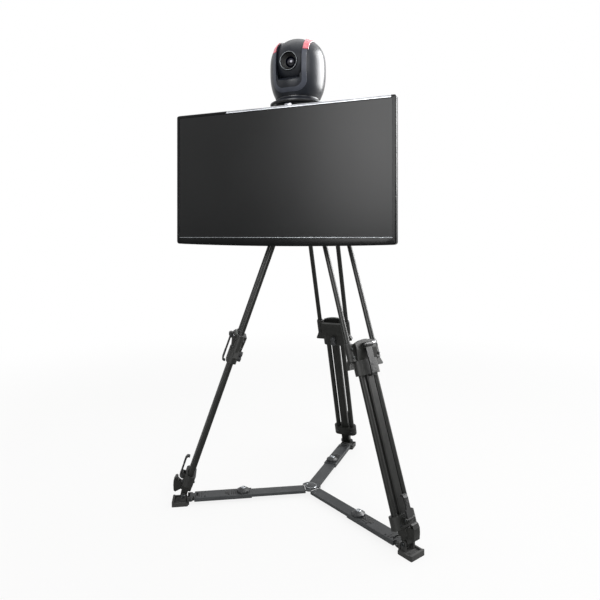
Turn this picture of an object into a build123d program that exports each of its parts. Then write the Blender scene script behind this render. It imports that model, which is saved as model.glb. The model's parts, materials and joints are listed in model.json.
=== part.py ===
import os
from math import cos, radians, sin, sqrt, tan

from build123d import *

# Director monitor stand: a wide display and a pan-tilt camera on a twin-rod tripod
# with a floor spreader. Millimetres, Z up, the screen faces -Y.
# The tripod's own axis is X = Y = 0 while the pieces are made.

# Clearances
running = 0.05          # radial, pin in bore
sliding = 0.4           # per side, between tubes and what they slide in
side_gap = 0.3          # between flat faces that turn past each other

# Stance of the tripod
leg_angle = 19.6  # degrees from vertical
crown_pivot_radius = 62.0
leg_turns = {"back": 0, "left": 120, "right": 240}

# Bowl, crown casting and levelling ball
bowl_radius = 37.5
bowl_wall = 8.0
bowl_rim_height = 1082.0
pivot_under_rim = 28.0
crown_ring_radius = 47.0
crown_ring_tall = 24.0
bowl_hole_radius = 14.0
lug_thick = 10.0
lug_radius = 12.0
pin_radius = 5.0
ball_gap = 0.3
adapter_neck_radius = 27.0
adapter_neck_tall = 9.0
adapter_flange_radius = 42.0
adapter_flange_tall = 9.0
stud_radius = 5.0
stud_length = 84.0
tie_knob_radius = 23.0
tie_knob_tall = 34.0

# Upper leg section
yoke_width = 52.0
yoke_boss_radius = 11.5
yoke_beam_down = 24.0
yoke_beam_tall = 34.0
yoke_beam_depth = 24.0
rod_spacing = 106.0
rod_radius = 8.0
rod_wall = 1.6
rod_rim = 4.0
block_down = 532.0
block_tall = 50.0
block_core_width = 84.0
crest_width = 84.0
crest_tall = 9.0
crest_depth = 25.0
wing_half_top = 58.0
wing_half_low = 72.0
wing_depth = 14.0
wing_tall = 34.0
block_depth = 44.0
collar_tall = 44.0
collar_depth = 34.0

# Middle and lower leg sections
tube_spacing = 56.0
tube_radius = 9.0
tube_wall = 1.6
bridge_tall = 22.0
bracket_over_foot = 74.9825
bracket_tall = 36.0
bracket_depth = 34.0
stem_width = 28.0
stem_depth = 20.0
stem_wall = 2.0
heel_width = 32.0
heel_depth = 36.0
heel_tall = 20.0
foot_boss_radius = 10.0
foot_pivot_height = 30.0
catch_width = 24.0

# Levers and knobs on the legs
lever_width = 24.0
lever_thick = 5.0
lever_boss_radius = 7.5
lever_pin_radius = 3.0
mid_lever_flare = 3.0
mid_lever_reach = 92.0
low_lever_reach = 64.0
wing_lobe_radius = 9.0
wing_lobe_offset = 8.5
wing_thick = 13.0
clamp_screw_radius = 4.0

# Foot shoes
shoe_width = 56.0
shoe_length = 52.0
shoe_thick = 8.0
shoe_rim_thick = 7.0
shoe_rim_tall = 15.0
shoe_past_pivot = 36.0
shoe_ear_thick = 6.5
shoe_pin_radius = 4.0

# Spreader
arm_hinge_inset = 25.0
arm_hinge_height = 17.0
arm_pin_radius = 3.0
arm_lug_width = 24.0
sleeve_width = 46.0
sleeve_thick = 14.0
sleeve_length = 188.0
sleeve_plug = 16.0
bar_width = 40.0
bar_thick = 9.0
bar_overlap = 28.0
hub_clear_radius = 21.0
hub_disc_radius = 19.0
hub_disc_tall = 3.0
hub_plate_radius = 33.0
hub_plate_tall = 3.5
hub_lift = 0.6
arm_knob_radius = 21.0
arm_knob_tall = 13.0
arm_knob_inset = 28.0

# Head: base, post, tilt arm and display bracket
head_offset = -27.0     # the display and camera sit left of the tripod's axis
base_width = 160.0
base_depth = 110.0
base_thick = 12.0
post_width = 46.0
post_depth = 30.0
post_back_y = -30.0
post_wall = 3.0
shelf_rise = 226.0      # from the bowl's rim to the underside of the camera shelf
shelf_thick = 6.0
shelf_width = 120.0
tilt_axis_y = -146.0
tilt_axis_rise = 68.0   # from the bowl's rim to the display's tilt axis
arm_width = 40.0
arm_tall = 30.0
tilt_boss_radius = 14.0
tilt_pin_radius = 5.0
vesa_pitch = 100.0
vesa_plate = 126.0
vesa_thick = 4.0
vesa_hole_radius = 2.2
tilt_lug_thick = 8.0

# Display
display_front_y = -220.0
display_drop = 82.0     # from the tilt axis down to the display's centre
display_width = 730.0
display_height = 424.0
bezel_depth = 24.0
bezel_side = 11.0
bezel_bottom = 20.0
bezel_bow = 6.0
bezel_wall = 3.0
panel_lap = 4.0         # how far the panel reaches behind the bezel's lower rim
panel_thick = 10.0
panel_set_back = 1.2
cover_thin_depth = 8.0
cover_depth = 31.0
cover_wall = 3.0
bulge_width = 420.0
bulge_height = 240.0
bulge_slope = 16.0
board_width = 300.0
board_height = 120.0
inlet_width = 28.0
inlet_height = 22.0

# Pan-tilt camera
ptz_y = -50.0
ptz_base_radius = 93.0
ptz_base_tall = 22.0
ptz_foot_radius = 74.0
ptz_belly_radius = 93.0
ptz_belly_height = 93.0
ptz_shell_tall = 203.0
ptz_top_fullness = 3.0
ptz_foot_fullness = 2.5
drum_height = 115.0
drum_radius = 86.0
drum_width = 86.0
drum_gap = 2.0
window_sill = 58.0
axle_radius = 8.0
axle_reach = 12.0
lens_radius = 31.0
lens_depth = 34.0
lens_rim = 5.0
lens_droop = 5.0        # degrees that the lens looks down at rest
trim_band = 13.0
trim_proud = 1.4
tally_width = 15.0
tally_proud = 2.2
skin_gap = 0.15

# Worked out from the sizes above
slope = radians(leg_angle)
rod_socket_radius = rod_radius + rod_rim
tube_group_width = tube_spacing + 2 * tube_radius
passage_width = tube_group_width + 2 * sliding
passage_depth = max(2 * tube_radius, stem_depth) + 2 * sliding
collar_down = block_down + block_tall
crown_pivot_height = bowl_rim_height - pivot_under_rim
tube_top_down = block_down + 12.0
stem_top_down = tube_top_down + bridge_tall + 6.0
foot_pivot_down = (crown_pivot_height - foot_pivot_height) / cos(slope)
bracket_down = foot_pivot_down - bracket_over_foot
heel_down = bracket_down + bracket_tall + sliding
foot_pivot_radius = crown_pivot_radius + (crown_pivot_height - foot_pivot_height) * tan(slope)
arm_hinge_radius = foot_pivot_radius - arm_hinge_inset
arm_lug_radius = sleeve_thick / 2
sleeve_outer_r = arm_hinge_radius - arm_lug_radius - 4.0
sleeve_inner_r = sleeve_outer_r - sleeve_length
bar_outer_r = sleeve_inner_r + bar_overlap
lever_out = block_depth / 2 + lever_boss_radius
low_lever_out = bracket_depth / 2 + lever_boss_radius + 2.5
mid_lever_down = block_down + 8.0
low_lever_down = bracket_down + 14.0
adapter_top = bowl_rim_height + adapter_neck_tall + adapter_flange_tall
base_bottom = adapter_top + side_gap
base_top = base_bottom + base_thick
shelf_height = bowl_rim_height + shelf_rise
tilt_axis_height = bowl_rim_height + tilt_axis_rise
display_centre_height = tilt_axis_height - display_drop
ptz_bottom = shelf_height + shelf_thick
ptz_shell_bottom = ptz_bottom + ptz_base_tall + side_gap
display_back_y = display_front_y + bezel_depth
cover_back_y = display_back_y + cover_depth
bracket_front_y = cover_back_y

nodes = {}


def block(x, y, z):
    """A box given by its lowest and highest place along each axis."""
    size = (x[1] - x[0], y[1] - y[0], z[1] - z[0])
    centre = ((x[0] + x[1]) / 2, (y[0] + y[1]) / 2, (z[0] + z[1]) / 2)
    return Pos(*centre) * Box(*size)


def rod(radius, x=None, y=None, z=None):
    """A cylinder along the one axis that is given as a pair, at the other two places."""
    if isinstance(x, tuple):
        return Pos((x[0] + x[1]) / 2, y, z) * Rot(0, 90, 0) * Cylinder(radius, x[1] - x[0])
    if isinstance(y, tuple):
        return Pos(x, (y[0] + y[1]) / 2, z) * Rot(90, 0, 0) * Cylinder(radius, y[1] - y[0])
    return Pos(x, y, (z[0] + z[1]) / 2) * Cylinder(radius, z[1] - z[0])


def side_profile(points, width):
    """A closed outline in the YZ plane, made width thick about X = 0."""
    face = make_face(Plane.YZ * Polyline(*points, close=True))
    return extrude(face, width / 2, both=True)


def edges_along(shape, axis):
    return shape.edges().filter_by(axis)


def on_leg(shape, turn):
    """From the leg's own frame (pivot at its origin, Z up the leg, Y outward) to the stand."""
    place = Pos(0, crown_pivot_radius, crown_pivot_height) * Rot(leg_angle, 0, 0)
    return Rot(0, 0, turn) * place * shape


def on_floor(shape, turn):
    """From the back arm's place to the arm that lies turn degrees round."""
    return Rot(0, 0, turn) * shape


# Crown casting with its bowl and three pairs of lugs
def make_crown():
    rim = bowl_rim_height
    shell_radius = bowl_radius + bowl_wall
    dish = Pos(0, 0, rim) * Sphere(shell_radius)
    dish = dish & block((-60, 60), (-60, 60), (rim - 60, rim))
    ring = rod(crown_ring_radius, 0, 0, (rim - crown_ring_tall, rim))
    ring = chamfer(ring.edges().filter_by(GeomType.CIRCLE), 1.5)
    crown = dish + ring
    inner = yoke_width / 2 + side_gap
    for turn in leg_turns.values():
        for sign in (-1, 1):
            x = tuple(sorted((sign * inner, sign * (inner + lug_thick))))
            lug = rod(lug_radius, x, crown_pivot_radius, crown_pivot_height)
            lug += block(x, (20, crown_pivot_radius), (crown_pivot_height - lug_radius, rim - 6))
            lug += block(x, (20, crown_pivot_radius + 4), (crown_pivot_height, rim - 12))
            crown += on_floor(lug, turn)
    crown -= Pos(0, 0, rim) * Sphere(bowl_radius)
    crown -= rod(bowl_hole_radius, 0, 0, (rim - 60, rim))
    for turn in leg_turns.values():
        bore = rod(pin_radius + running, (-50, 50), crown_pivot_radius, crown_pivot_height)
        crown -= on_floor(bore, turn)
    return crown


def make_crown_pins():
    reach = yoke_width / 2 + side_gap + lug_thick + 1.0
    pins = []
    for turn in leg_turns.values():
        pin = rod(pin_radius, (-reach, reach), crown_pivot_radius, crown_pivot_height)
        pin = chamfer(pin.edges().filter_by(GeomType.CIRCLE), 0.8)
        pins.append(on_floor(pin, turn))
    return Compound(pins)


# Levelling half ball with its flat top and stud
def make_adapter():
    rim = bowl_rim_height
    ball = Pos(0, 0, rim) * Sphere(bowl_radius - ball_gap)
    ball = ball & block((-60, 60), (-60, 60), (rim - 60, rim))
    neck = rod(adapter_neck_radius, 0, 0, (rim, rim + adapter_neck_tall))
    flange = rod(adapter_flange_radius, 0, 0, (rim + adapter_neck_tall, adapter_top))
    flange = chamfer(flange.edges().filter_by(GeomType.CIRCLE), 1.0)
    stud = rod(stud_radius, 0, 0, (rim - stud_length, rim - bowl_radius + 4))
    return ball + neck + flange + stud


def make_tie_knob():
    seat = bowl_radius + bowl_wall + ball_gap
    top = bowl_rim_height - seat * cos(radians(30))
    bottom = top - tie_knob_tall
    knob = rod(tie_knob_radius, 0, 0, (bottom, top))
    reach = tie_knob_radius + 3
    for index in range(8):
        angle = radians(45 * index)
        knob -= rod(5.0, reach * cos(angle), reach * sin(angle), (bottom - 1, top - 12))
    knob -= Pos(0, 0, bowl_rim_height) * Sphere(seat)
    stud_end = bowl_rim_height - stud_length
    return knob - rod(stud_radius + running, 0, 0, (stud_end - 1, top + 20))


# Upper section: yoke, rods and mid block
def make_yoke():
    half = yoke_width / 2
    beam_half = rod_spacing / 2 + rod_radius + rod_rim
    low = -(yoke_beam_down + yoke_beam_tall)
    yoke = rod(yoke_boss_radius, (-half, half), 0, 0)
    yoke += block((-half, half), (-9, 9), (-yoke_beam_down - 4, 0))
    beam_y = (-yoke_beam_depth / 2, yoke_beam_depth / 2)
    beam = block((-beam_half, beam_half), beam_y, (low, -yoke_beam_down))
    beam = fillet(edges_along(beam, Axis.Z), 5.0)
    yoke += beam
    yoke -= rod(pin_radius + running, (-half - 1, half + 1), 0, 0)
    for sign in (-1, 1):
        yoke -= rod(rod_radius, sign * rod_spacing / 2, 0, (low - 1, -yoke_beam_down - 6))
    yoke -= block((-half + 10, half - 10), (-20, 20), (low - 1, low + 12))
    return yoke


def make_rods():
    top = -(yoke_beam_down + 6)
    low = -(block_down + block_tall - 6)
    pair = []
    for sign in (-1, 1):
        x = sign * rod_spacing / 2
        tube = rod(rod_radius, x, 0, (low, top))
        pair.append(tube - rod(rod_radius - rod_wall, x, 0, (low - 1, top + 1)))
    return Compound(pair)


def lever_clevis(out, down, length, root):
    """Two ears that hold a lever's pin, with the pin, standing out from a leg casting."""
    ears = None
    for sign in (-1, 1):
        inner = lever_width / 2 + side_gap
        x = tuple(sorted((sign * inner, sign * (inner + 5))))
        ear = rod(lever_boss_radius - 1, x, out, -down)
        ear += block(x, (root, out), (-down - length, -down + lever_boss_radius - 1))
        ears = ear if ears is None else ears + ear
    reach = lever_width / 2 + side_gap + 5
    return ears + rod(lever_pin_radius, (-reach, reach), out, -down)


def oval_bar(spacing, radius, z):
    """Two round ends joined by a flat-sided middle, along the leg."""
    bar = block((-spacing / 2, spacing / 2), (-radius, radius), z)
    return bar + rod(radius, -spacing / 2, 0, z) + rod(radius, spacing / 2, 0, z)


def make_mid_block():
    low = -(collar_down + collar_tall)
    half = block_depth / 2
    casting = oval_bar(rod_spacing, rod_socket_radius, (-collar_down, -block_down))
    core = [
        (-half, -block_down),
        (half, -block_down),
        (half, -block_down - block_tall * 0.36),
        (half - 8, -collar_down),
        (-half + 3, -collar_down),
    ]
    casting += side_profile(core, block_core_width)
    casting += oval_bar(tube_spacing, collar_depth / 2, (low, -collar_down))
    crest_half = crest_width / 2
    crest = ThreePointArc((-crest_half, 0), (0, crest_tall), (crest_half, 0))
    crest += Line((crest_half, 0), (-crest_half, 0))
    crest = extrude(make_face(Plane.XZ * crest), crest_depth / 2, both=True)
    casting += Pos(0, 6.5, -block_down) * crest
    wing_low = -collar_down - wing_tall * 0.65
    wing = [
        (-wing_half_top, wing_low + wing_tall),
        (wing_half_top, wing_low + wing_tall),
        (wing_half_low, wing_low + 4),
        (wing_half_low - 3, wing_low),
        (-wing_half_low + 3, wing_low),
        (-wing_half_low, wing_low + 4),
    ]
    wing = extrude(make_face(Plane.XZ * Polyline(*wing, close=True)), -wing_depth)
    casting += Pos(0, collar_depth / 2 - wing_depth, 0) * wing
    casting += lever_clevis(lever_out, mid_lever_down, 10.0, half - 3)
    passage_y = (-passage_depth / 2, passage_depth / 2)
    casting -= block((-passage_width / 2, passage_width / 2), passage_y, (low - 1, 0))
    for sign in (-1, 1):
        casting -= rod(rod_radius, sign * rod_spacing / 2, 0, (-collar_down + 6, 0))
    screw_y = (-collar_depth, -passage_depth / 2 + 1)
    return casting - rod(clamp_screw_radius + running, 0, screw_y, -knob_down())


def knob_down():
    return collar_down + collar_tall / 2


def make_mid_knob():
    """Wing knob with two round lobes and its clamp screw."""
    face = -collar_depth / 2 - side_gap
    y = (face - wing_thick, face)
    knob = rod(clamp_screw_radius, 0, (y[0] + 2, -passage_depth / 2 - side_gap), -knob_down())
    for sign in (-1, 1):
        lobe = rod(wing_lobe_radius, 0, y, -knob_down() + sign * wing_lobe_offset)
        knob += fillet(lobe.edges().filter_by(GeomType.CIRCLE), 2.5)
    return knob


def hooked_lever(out, stand_off, down, reach, direction, flare=0.0):
    """Flat lever on a cross pin that curls back to the leg at its tip."""
    bar_y = out + stand_off
    tip = -down + reach * direction
    outline = [
        (bar_y, -down),
        (bar_y + lever_thick, -down),
        (bar_y + lever_thick, tip - direction * 9),
        (bar_y + lever_thick - 2, tip - direction * 3),
        (bar_y - 2, tip),
        (bar_y - 8, tip - direction * 1),
        (bar_y - 8, tip - direction * 5),
        (bar_y - 3, tip - direction * 5),
        (bar_y, tip - direction * 9),
    ]
    lever = side_profile(outline, lever_width - 8 + 2 * flare)
    root = tuple(sorted((-down, -down + direction * reach * 0.4)))
    lever += block((-lever_width / 2, lever_width / 2), (bar_y, bar_y + lever_thick), root)
    lever += rod(lever_boss_radius, (-lever_width / 2, lever_width / 2), out, -down)
    return lever - rod(lever_pin_radius + running, (-lever_width, lever_width), out, -down)


# Middle section: two tubes with their bridge, and the bottom bracket
def make_middle_tubes():
    top = -tube_top_down
    low = -(bracket_down + bracket_tall - 5)
    pair = None
    for sign in (-1, 1):
        x = sign * tube_spacing / 2
        tube = rod(tube_radius, x, 0, (low, top))
        tube -= rod(tube_radius - tube_wall, x, 0, (low - 1, top + 1))
        pair = tube if pair is None else pair + tube
    half = tube_group_width / 2 - 2
    bridge = block((-half, half), (-tube_radius, tube_radius), (top - bridge_tall, top))
    through = (top - bridge_tall - 1, top + 1)
    bridge -= block((-12, 12), (-4, 4), through)
    for sign in (-1, 1):
        bridge -= rod(tube_radius - tube_wall, sign * tube_spacing / 2, 0, through)
    return pair + bridge


def make_bracket():
    top = -bracket_down
    low = -(bracket_down + bracket_tall)
    body = oval_bar(tube_spacing, bracket_depth / 2, (low, top))
    body = chamfer(body.faces().sort_by(Axis.Z)[0].edges(), 2.0)
    body += lever_clevis(low_lever_out, low_lever_down, 8.0, bracket_depth / 2 - 3)
    for sign in (-1, 1):
        body -= rod(tube_radius, sign * tube_spacing / 2, 0, (low + 5, top + 1))
    x = stem_width / 2 + sliding
    y = stem_depth / 2 + sliding
    return body - block((-x, x), (-y, y), (low - 1, top + 1))


# Lower section: stem with its heel casting and the strap catch
def make_lower_leg():
    top = -stem_top_down
    heel_top = -heel_down
    stem_x = (-stem_width / 2, stem_width / 2)
    stem = block(stem_x, (-stem_depth / 2, stem_depth / 2), (heel_top, top))
    stem = fillet(edges_along(stem, Axis.Z), 4.0)
    inner_x = stem_width / 2 - stem_wall
    inner_y = stem_depth / 2 - stem_wall
    stem -= block((-inner_x, inner_x), (-inner_y, inner_y), (heel_top + 6, top + 1))
    heel_x = (-heel_width / 2, heel_width / 2)
    heel = block(heel_x, (-heel_depth / 2, heel_depth / 2), (heel_top - heel_tall, heel_top))
    heel = fillet(edges_along(heel, Axis.Z), 5.0)
    boss_half = stem_width / 2 - side_gap
    boss = rod(foot_boss_radius, (-boss_half, boss_half), 0, -foot_pivot_down)
    boss_y = (-foot_boss_radius, foot_boss_radius)
    boss += block((-boss_half, boss_half), boss_y, (-foot_pivot_down, heel_top))
    lobe_top = -(low_lever_down + lever_boss_radius + 3)
    lobe_low = -foot_pivot_down + 6
    out = low_lever_out + lever_boss_radius
    outline = [
        (heel_depth / 2 - 4, heel_top - 1),
        (heel_depth / 2 + 5, heel_top - 1),
        (out - 1, lobe_top - 8),
        (out + 1, lobe_top - 2),
        (out + 6, lobe_top),
        (out + 10, lobe_top - 3),
        (out + 12, lobe_top - 14),
        (out + 8, lobe_top - 28),
        (out + 1, lobe_low),
        (out - 5, lobe_low - 2),
        (heel_depth / 2 - 4, heel_top - heel_tall),
    ]
    catch = side_profile(outline, catch_width)
    catch -= rod(3.4, (-catch_width, catch_width), out + 5.5, lobe_top - 9)
    leg = stem + heel + boss + catch
    return leg - rod(shoe_pin_radius + running, (-30, 30), 0, -foot_pivot_down)


# Foot shoe: stays level on the floor, carries the leg and the spreader arm
def make_shoe():
    outer = foot_pivot_radius + shoe_past_pivot
    inner = outer - shoe_length
    half = shoe_width / 2
    shoe = block((-half, half), (inner, outer), (0, shoe_thick))
    shoe = fillet(edges_along(shoe, Axis.Z), 5.0)
    rim = block((-half, half), (outer - shoe_rim_thick, outer), (0, shoe_rim_tall))
    shoe += fillet(edges_along(rim, Axis.Z), 3.0)
    for sign in (-1, 1):
        flank = tuple(sorted((sign * half, sign * (half - 5))))
        shoe += block(flank, (inner + 6, outer - 3), (0, shoe_thick + 5))
        ear_in = stem_width / 2
        x = tuple(sorted((sign * ear_in, sign * (ear_in + shoe_ear_thick))))
        shoe += rod(8.0, x, foot_pivot_radius, foot_pivot_height)
        shoe += block(x, (foot_pivot_radius - 8, foot_pivot_radius + 8), (0, foot_pivot_height))
        lug_in = arm_lug_width / 2 + side_gap
        x = tuple(sorted((sign * lug_in, sign * (lug_in + shoe_ear_thick))))
        lug_z = (arm_hinge_height - arm_lug_radius, arm_hinge_height + arm_lug_radius)
        shoe += rod(arm_lug_radius, x, arm_hinge_radius, arm_hinge_height)
        shoe += block(x, (arm_hinge_radius, inner + 3), lug_z)
        shoe += block(x, (inner - 3, inner + 3), (0, lug_z[1]))
    reach = stem_width / 2 + shoe_ear_thick
    shoe += rod(shoe_pin_radius, (-reach, reach), foot_pivot_radius, foot_pivot_height)
    reach = arm_lug_width / 2 + side_gap + shoe_ear_thick
    return shoe + rod(arm_pin_radius, (-reach, reach), arm_hinge_radius, arm_hinge_height)


# Spreader arm: sleeve, sliding bar and clamp knob
def make_sleeve():
    z = (arm_hinge_height - sleeve_thick / 2, arm_hinge_height + sleeve_thick / 2)
    half = sleeve_width / 2
    sleeve = block((-half, half), (sleeve_inner_r, sleeve_outer_r), z)
    sleeve = fillet(edges_along(sleeve, Axis.Y), 2.0)
    lug_half = arm_lug_width / 2
    sleeve += block((-lug_half, lug_half), (sleeve_outer_r - 2, arm_hinge_radius), z)
    sleeve += rod(arm_lug_radius, (-lug_half, lug_half), arm_hinge_radius, arm_hinge_height)
    cave_x = bar_width / 2 + sliding
    cave_z = bar_thick / 2 + sliding
    cave = block((-cave_x, cave_x), (sleeve_inner_r - 1, sleeve_outer_r - sleeve_plug + sliding),
                 (arm_hinge_height - cave_z, arm_hinge_height + cave_z))
    sleeve -= cave
    sleeve -= rod(arm_pin_radius + running, (-30, 30), arm_hinge_radius, arm_hinge_height)
    sleeve -= rod(3.0 + running, 0, sleeve_inner_r + arm_knob_inset, (arm_hinge_height, z[1] + 1))
    slot_y = sleeve_outer_r - sleeve_plug / 2
    sleeve -= block((-12, 12), (slot_y - 4, slot_y + 3), (z[1] - 5, z[1] + 1))
    for index in range(3):
        groove_y = sleeve_inner_r + arm_knob_inset + arm_knob_radius + 6 + 5 * index
        sleeve -= block((-14, 14), (groove_y, groove_y + 2), (z[1] - 1, z[1] + 1))
    return sleeve


def make_bar():
    z = (arm_hinge_height - bar_thick / 2, arm_hinge_height + bar_thick / 2)
    bar = block((-bar_width / 2, bar_width / 2), (hub_clear_radius, bar_outer_r), z)
    return fillet(edges_along(bar, Axis.Z), 1.5)


def make_arm_knob():
    z = arm_hinge_height + sleeve_thick / 2 + side_gap
    y = sleeve_inner_r + arm_knob_inset
    low_tall = arm_knob_tall * 0.45
    knob = rod(arm_knob_radius, 0, y, (z, z + low_tall))
    cone = Cone(arm_knob_radius, arm_knob_radius * 0.42, arm_knob_tall - low_tall)
    knob += Pos(0, y, z + low_tall + (arm_knob_tall - low_tall) / 2) * cone
    for index in range(10):
        angle = radians(36 * index)
        reach = arm_knob_radius + 1.5
        knob -= rod(3.0, reach * cos(angle), y + reach * sin(angle), (z - 1, z + low_tall + 4))
    screw_low = arm_hinge_height + bar_thick / 2 + side_gap
    return knob + rod(3.0, 0, y, (screw_low, z + 2))


def make_hub():
    """Cover plate over the meeting point, seated on the back arm's bar."""
    top = arm_hinge_height + bar_thick / 2
    z = (top + hub_lift, top + hub_lift + hub_plate_tall)
    plate = rod(hub_plate_radius, 0, 0, z)
    clear = 1.0
    for turn in (leg_turns["left"], leg_turns["right"]):
        half = bar_width / 2 + clear
        strip = block((-half, half), (hub_clear_radius - clear, hub_plate_radius + 5), (z[0] - 1, z[1] + 1))
        plate -= on_floor(strip, turn)
    pad_half = bar_width / 2 - 4
    pad = block((-pad_half, pad_half), (hub_clear_radius + 1, hub_plate_radius - 7), (top, z[0]))
    disc = rod(hub_disc_radius, 0, 0, (z[1], z[1] + hub_disc_tall))
    disc = chamfer(disc.faces().sort_by(Axis.Z)[-1].edges(), 0.8)
    return plate + pad + disc


# Head base on the levelling ball, and the post behind the display
def make_head_base():
    half = base_width / 2
    base_y = (-base_depth * 0.6, base_depth * 0.4)
    base = block((head_offset - half, head_offset + half), base_y, (base_bottom, base_top))
    base = fillet(edges_along(base, Axis.Z), 14.0)
    base = chamfer(base.faces().sort_by(Axis.Z)[-1].edges(), 2.0)
    screw = rod(4.8, 0, 0, (base_bottom - 1, base_bottom + 9))
    return base - screw


def make_post():
    half = post_width / 2
    front = post_back_y - post_depth
    post = block((head_offset - half, head_offset + half), (front, post_back_y), (base_top, shelf_height))
    post = fillet(edges_along(post, Axis.Z), 4.0)
    inner = half - post_wall
    hollow_y = (front + post_wall, post_back_y - post_wall)
    hollow = block((head_offset - inner, head_offset + inner), hollow_y, (base_top + 8, shelf_height - 8))
    return post - hollow


def make_tilt_arm():
    half = arm_width / 2
    front = post_back_y - post_depth
    z = (tilt_axis_height - arm_tall / 2, tilt_axis_height + arm_tall / 2)
    x = (head_offset - half, head_offset + half)
    arm = block(x, (tilt_axis_y, front), z)
    arm += rod(tilt_boss_radius, x, tilt_axis_y, tilt_axis_height)
    flange_x = (head_offset - post_width / 2, head_offset + post_width / 2)
    arm += block(flange_x, (front - 8, front), (z[0] - 8, z[1] + 12))
    window_y = (tilt_axis_y + 24, front - 12)
    arm -= block((head_offset - 12, head_offset + 12), window_y, (z[0] - 1, z[1] + 1))
    pin_reach = half + side_gap + tilt_lug_thick + 1
    arm -= rod(tilt_pin_radius, (x[0] - 1, x[1] + 1), tilt_axis_y, tilt_axis_height)
    pin_x = (head_offset - pin_reach, head_offset + pin_reach)
    return arm + rod(tilt_pin_radius, pin_x, tilt_axis_y, tilt_axis_height)


def vesa_places():
    for sx in (-1, 1):
        for sz in (-1, 1):
            yield head_offset + sx * vesa_pitch / 2, display_centre_height + sz * vesa_pitch / 2


def make_display_bracket():
    half = vesa_plate / 2
    y = (bracket_front_y, bracket_front_y + vesa_thick)
    z = (display_centre_height - half, display_centre_height + half)
    plate = block((head_offset - half, head_offset + half), y, z)
    plate = fillet(edges_along(plate, Axis.Y), 8.0)
    inner = arm_width / 2 + side_gap
    for sign in (-1, 1):
        x = tuple(sorted((head_offset + sign * inner, head_offset + sign * (inner + tilt_lug_thick))))
        lug = rod(tilt_boss_radius, x, tilt_axis_y, tilt_axis_height)
        arm_z = (tilt_axis_height - tilt_boss_radius, tilt_axis_height + tilt_boss_radius)
        lug += block(x, (y[0], tilt_axis_y), arm_z)
        lug += block(x, (y[0], y[1] + 8), (display_centre_height - half + 10, tilt_axis_height))
        plate += lug
        plate -= rod(tilt_pin_radius + running, (x[0] - 1, x[1] + 1), tilt_axis_y, tilt_axis_height)
    for x, z in vesa_places():
        plate -= rod(vesa_hole_radius, x, (y[0] - 1, y[1] + 1), z)
    return plate


def make_vesa_screws():
    screws = []
    back = bracket_front_y + vesa_thick
    for x, z in vesa_places():
        shank = rod(2.0, x, (bracket_front_y - 7, back + 1), z)
        head = rod(4.0, x, (back, back + 3), z)
        screws.append(shank + head)
    return Compound(screws)


# Display: bezel, panel, board and rear cover
def display_outline(inset, y, bow=0.0):
    """The display's outline as a face at y, with a lower edge that bows down in the middle."""
    half = display_width / 2 - inset
    low = display_centre_height - display_height / 2 + inset
    high = display_centre_height + display_height / 2 - inset
    left, right = head_offset - half, head_offset + half
    if bow:
        bottom = ThreePointArc((left, low), (head_offset, low - bow), (right, low))
    else:
        bottom = Line((left, low), (right, low))
    rest = Polyline((right, low), (right, high), (left, high), (left, low))
    # the plane's X runs along the stand's X and its Y runs up
    plane = Plane(origin=(0, y, 0), x_dir=(1, 0, 0), z_dir=(0, -1, 0))
    return make_face(plane * (bottom + rest))


def make_bezel():
    front = display_front_y
    body = extrude(display_outline(0, display_back_y, bezel_bow), bezel_depth)
    body = fillet(edges_along(body, Axis.Y), 4.0)
    half = display_width / 2 - bezel_side
    low = display_centre_height - display_height / 2
    high = low + display_height
    window_z = (low + bezel_bottom, high - bezel_side)
    window = block((head_offset - half, head_offset + half), (front - 1, display_back_y + 1), window_z)
    inner_half = display_width / 2 - bezel_wall
    cavity_y = (front + panel_set_back, display_back_y + 1)
    cavity_z = (low + bezel_bottom - panel_lap, high - bezel_wall)
    return body - window - block((head_offset - inner_half, head_offset + inner_half), cavity_y, cavity_z)


def make_panel():
    half = display_width / 2 - bezel_wall - side_gap
    low = display_centre_height - display_height / 2 + bezel_bottom - panel_lap + side_gap
    high = display_centre_height + display_height / 2 - bezel_wall - side_gap
    y = (display_front_y + panel_set_back, display_front_y + panel_set_back + panel_thick)
    return block((head_offset - half, head_offset + half), y, (low, high))


def cover_solid(inset):
    """Thin tray with a sloped bulge in its middle."""
    y0 = display_back_y
    y1 = y0 + cover_thin_depth - inset
    thin = extrude(display_outline(3 + inset, y0), -(y1 - y0))
    half_w = bulge_width / 2 - inset
    half_h = bulge_height / 2 - inset
    y2 = cover_back_y - inset
    faces = []
    for y, drawn_in, corner in ((y1 - 1, 0, 18), (y2, bulge_slope, 14)):
        plane = Plane(origin=(head_offset, y, display_centre_height), x_dir=(1, 0, 0), z_dir=(0, 1, 0))
        faces.append(plane * RectangleRounded(2 * (half_w - drawn_in), 2 * (half_h - drawn_in), corner))
    return thin + loft(faces)


def make_cover():
    cover = cover_solid(0) - Pos(0, -0.5, 0) * cover_solid(cover_wall)
    inlet_x = head_offset + bulge_width / 2 - 70
    inlet_z = display_centre_height - bulge_height / 2 + 40
    sizes = []
    for wall, y in ((2, (cover_back_y - 14, cover_back_y)), (0, (cover_back_y - 12, cover_back_y + 1))):
        half_x = inlet_width / 2 + wall
        half_z = inlet_height / 2 + wall
        sizes.append(block((inlet_x - half_x, inlet_x + half_x), y, (inlet_z - half_z, inlet_z + half_z)))
    frame, pocket = sizes
    cover = cover + frame - pocket
    for offset in (-5, 5):
        cover += rod(1.2, inlet_x + offset, (cover_back_y - 13, cover_back_y - 3), inlet_z)
    for x, z in vesa_places():
        cover += rod(5.0, x, (cover_back_y - 12, cover_back_y), z)
        cover -= rod(2.0, x, (cover_back_y - 9, cover_back_y + 1), z)
    for index in range(12):
        x = head_offset - 66 + 12 * index
        slot_z = display_centre_height + bulge_height / 2 - 40
        slot_y = (cover_back_y - cover_wall - 1, cover_back_y + 1)
        cover -= block((x - 2, x + 2), slot_y, (slot_z - 12, slot_z + 12))
    return cover


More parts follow.
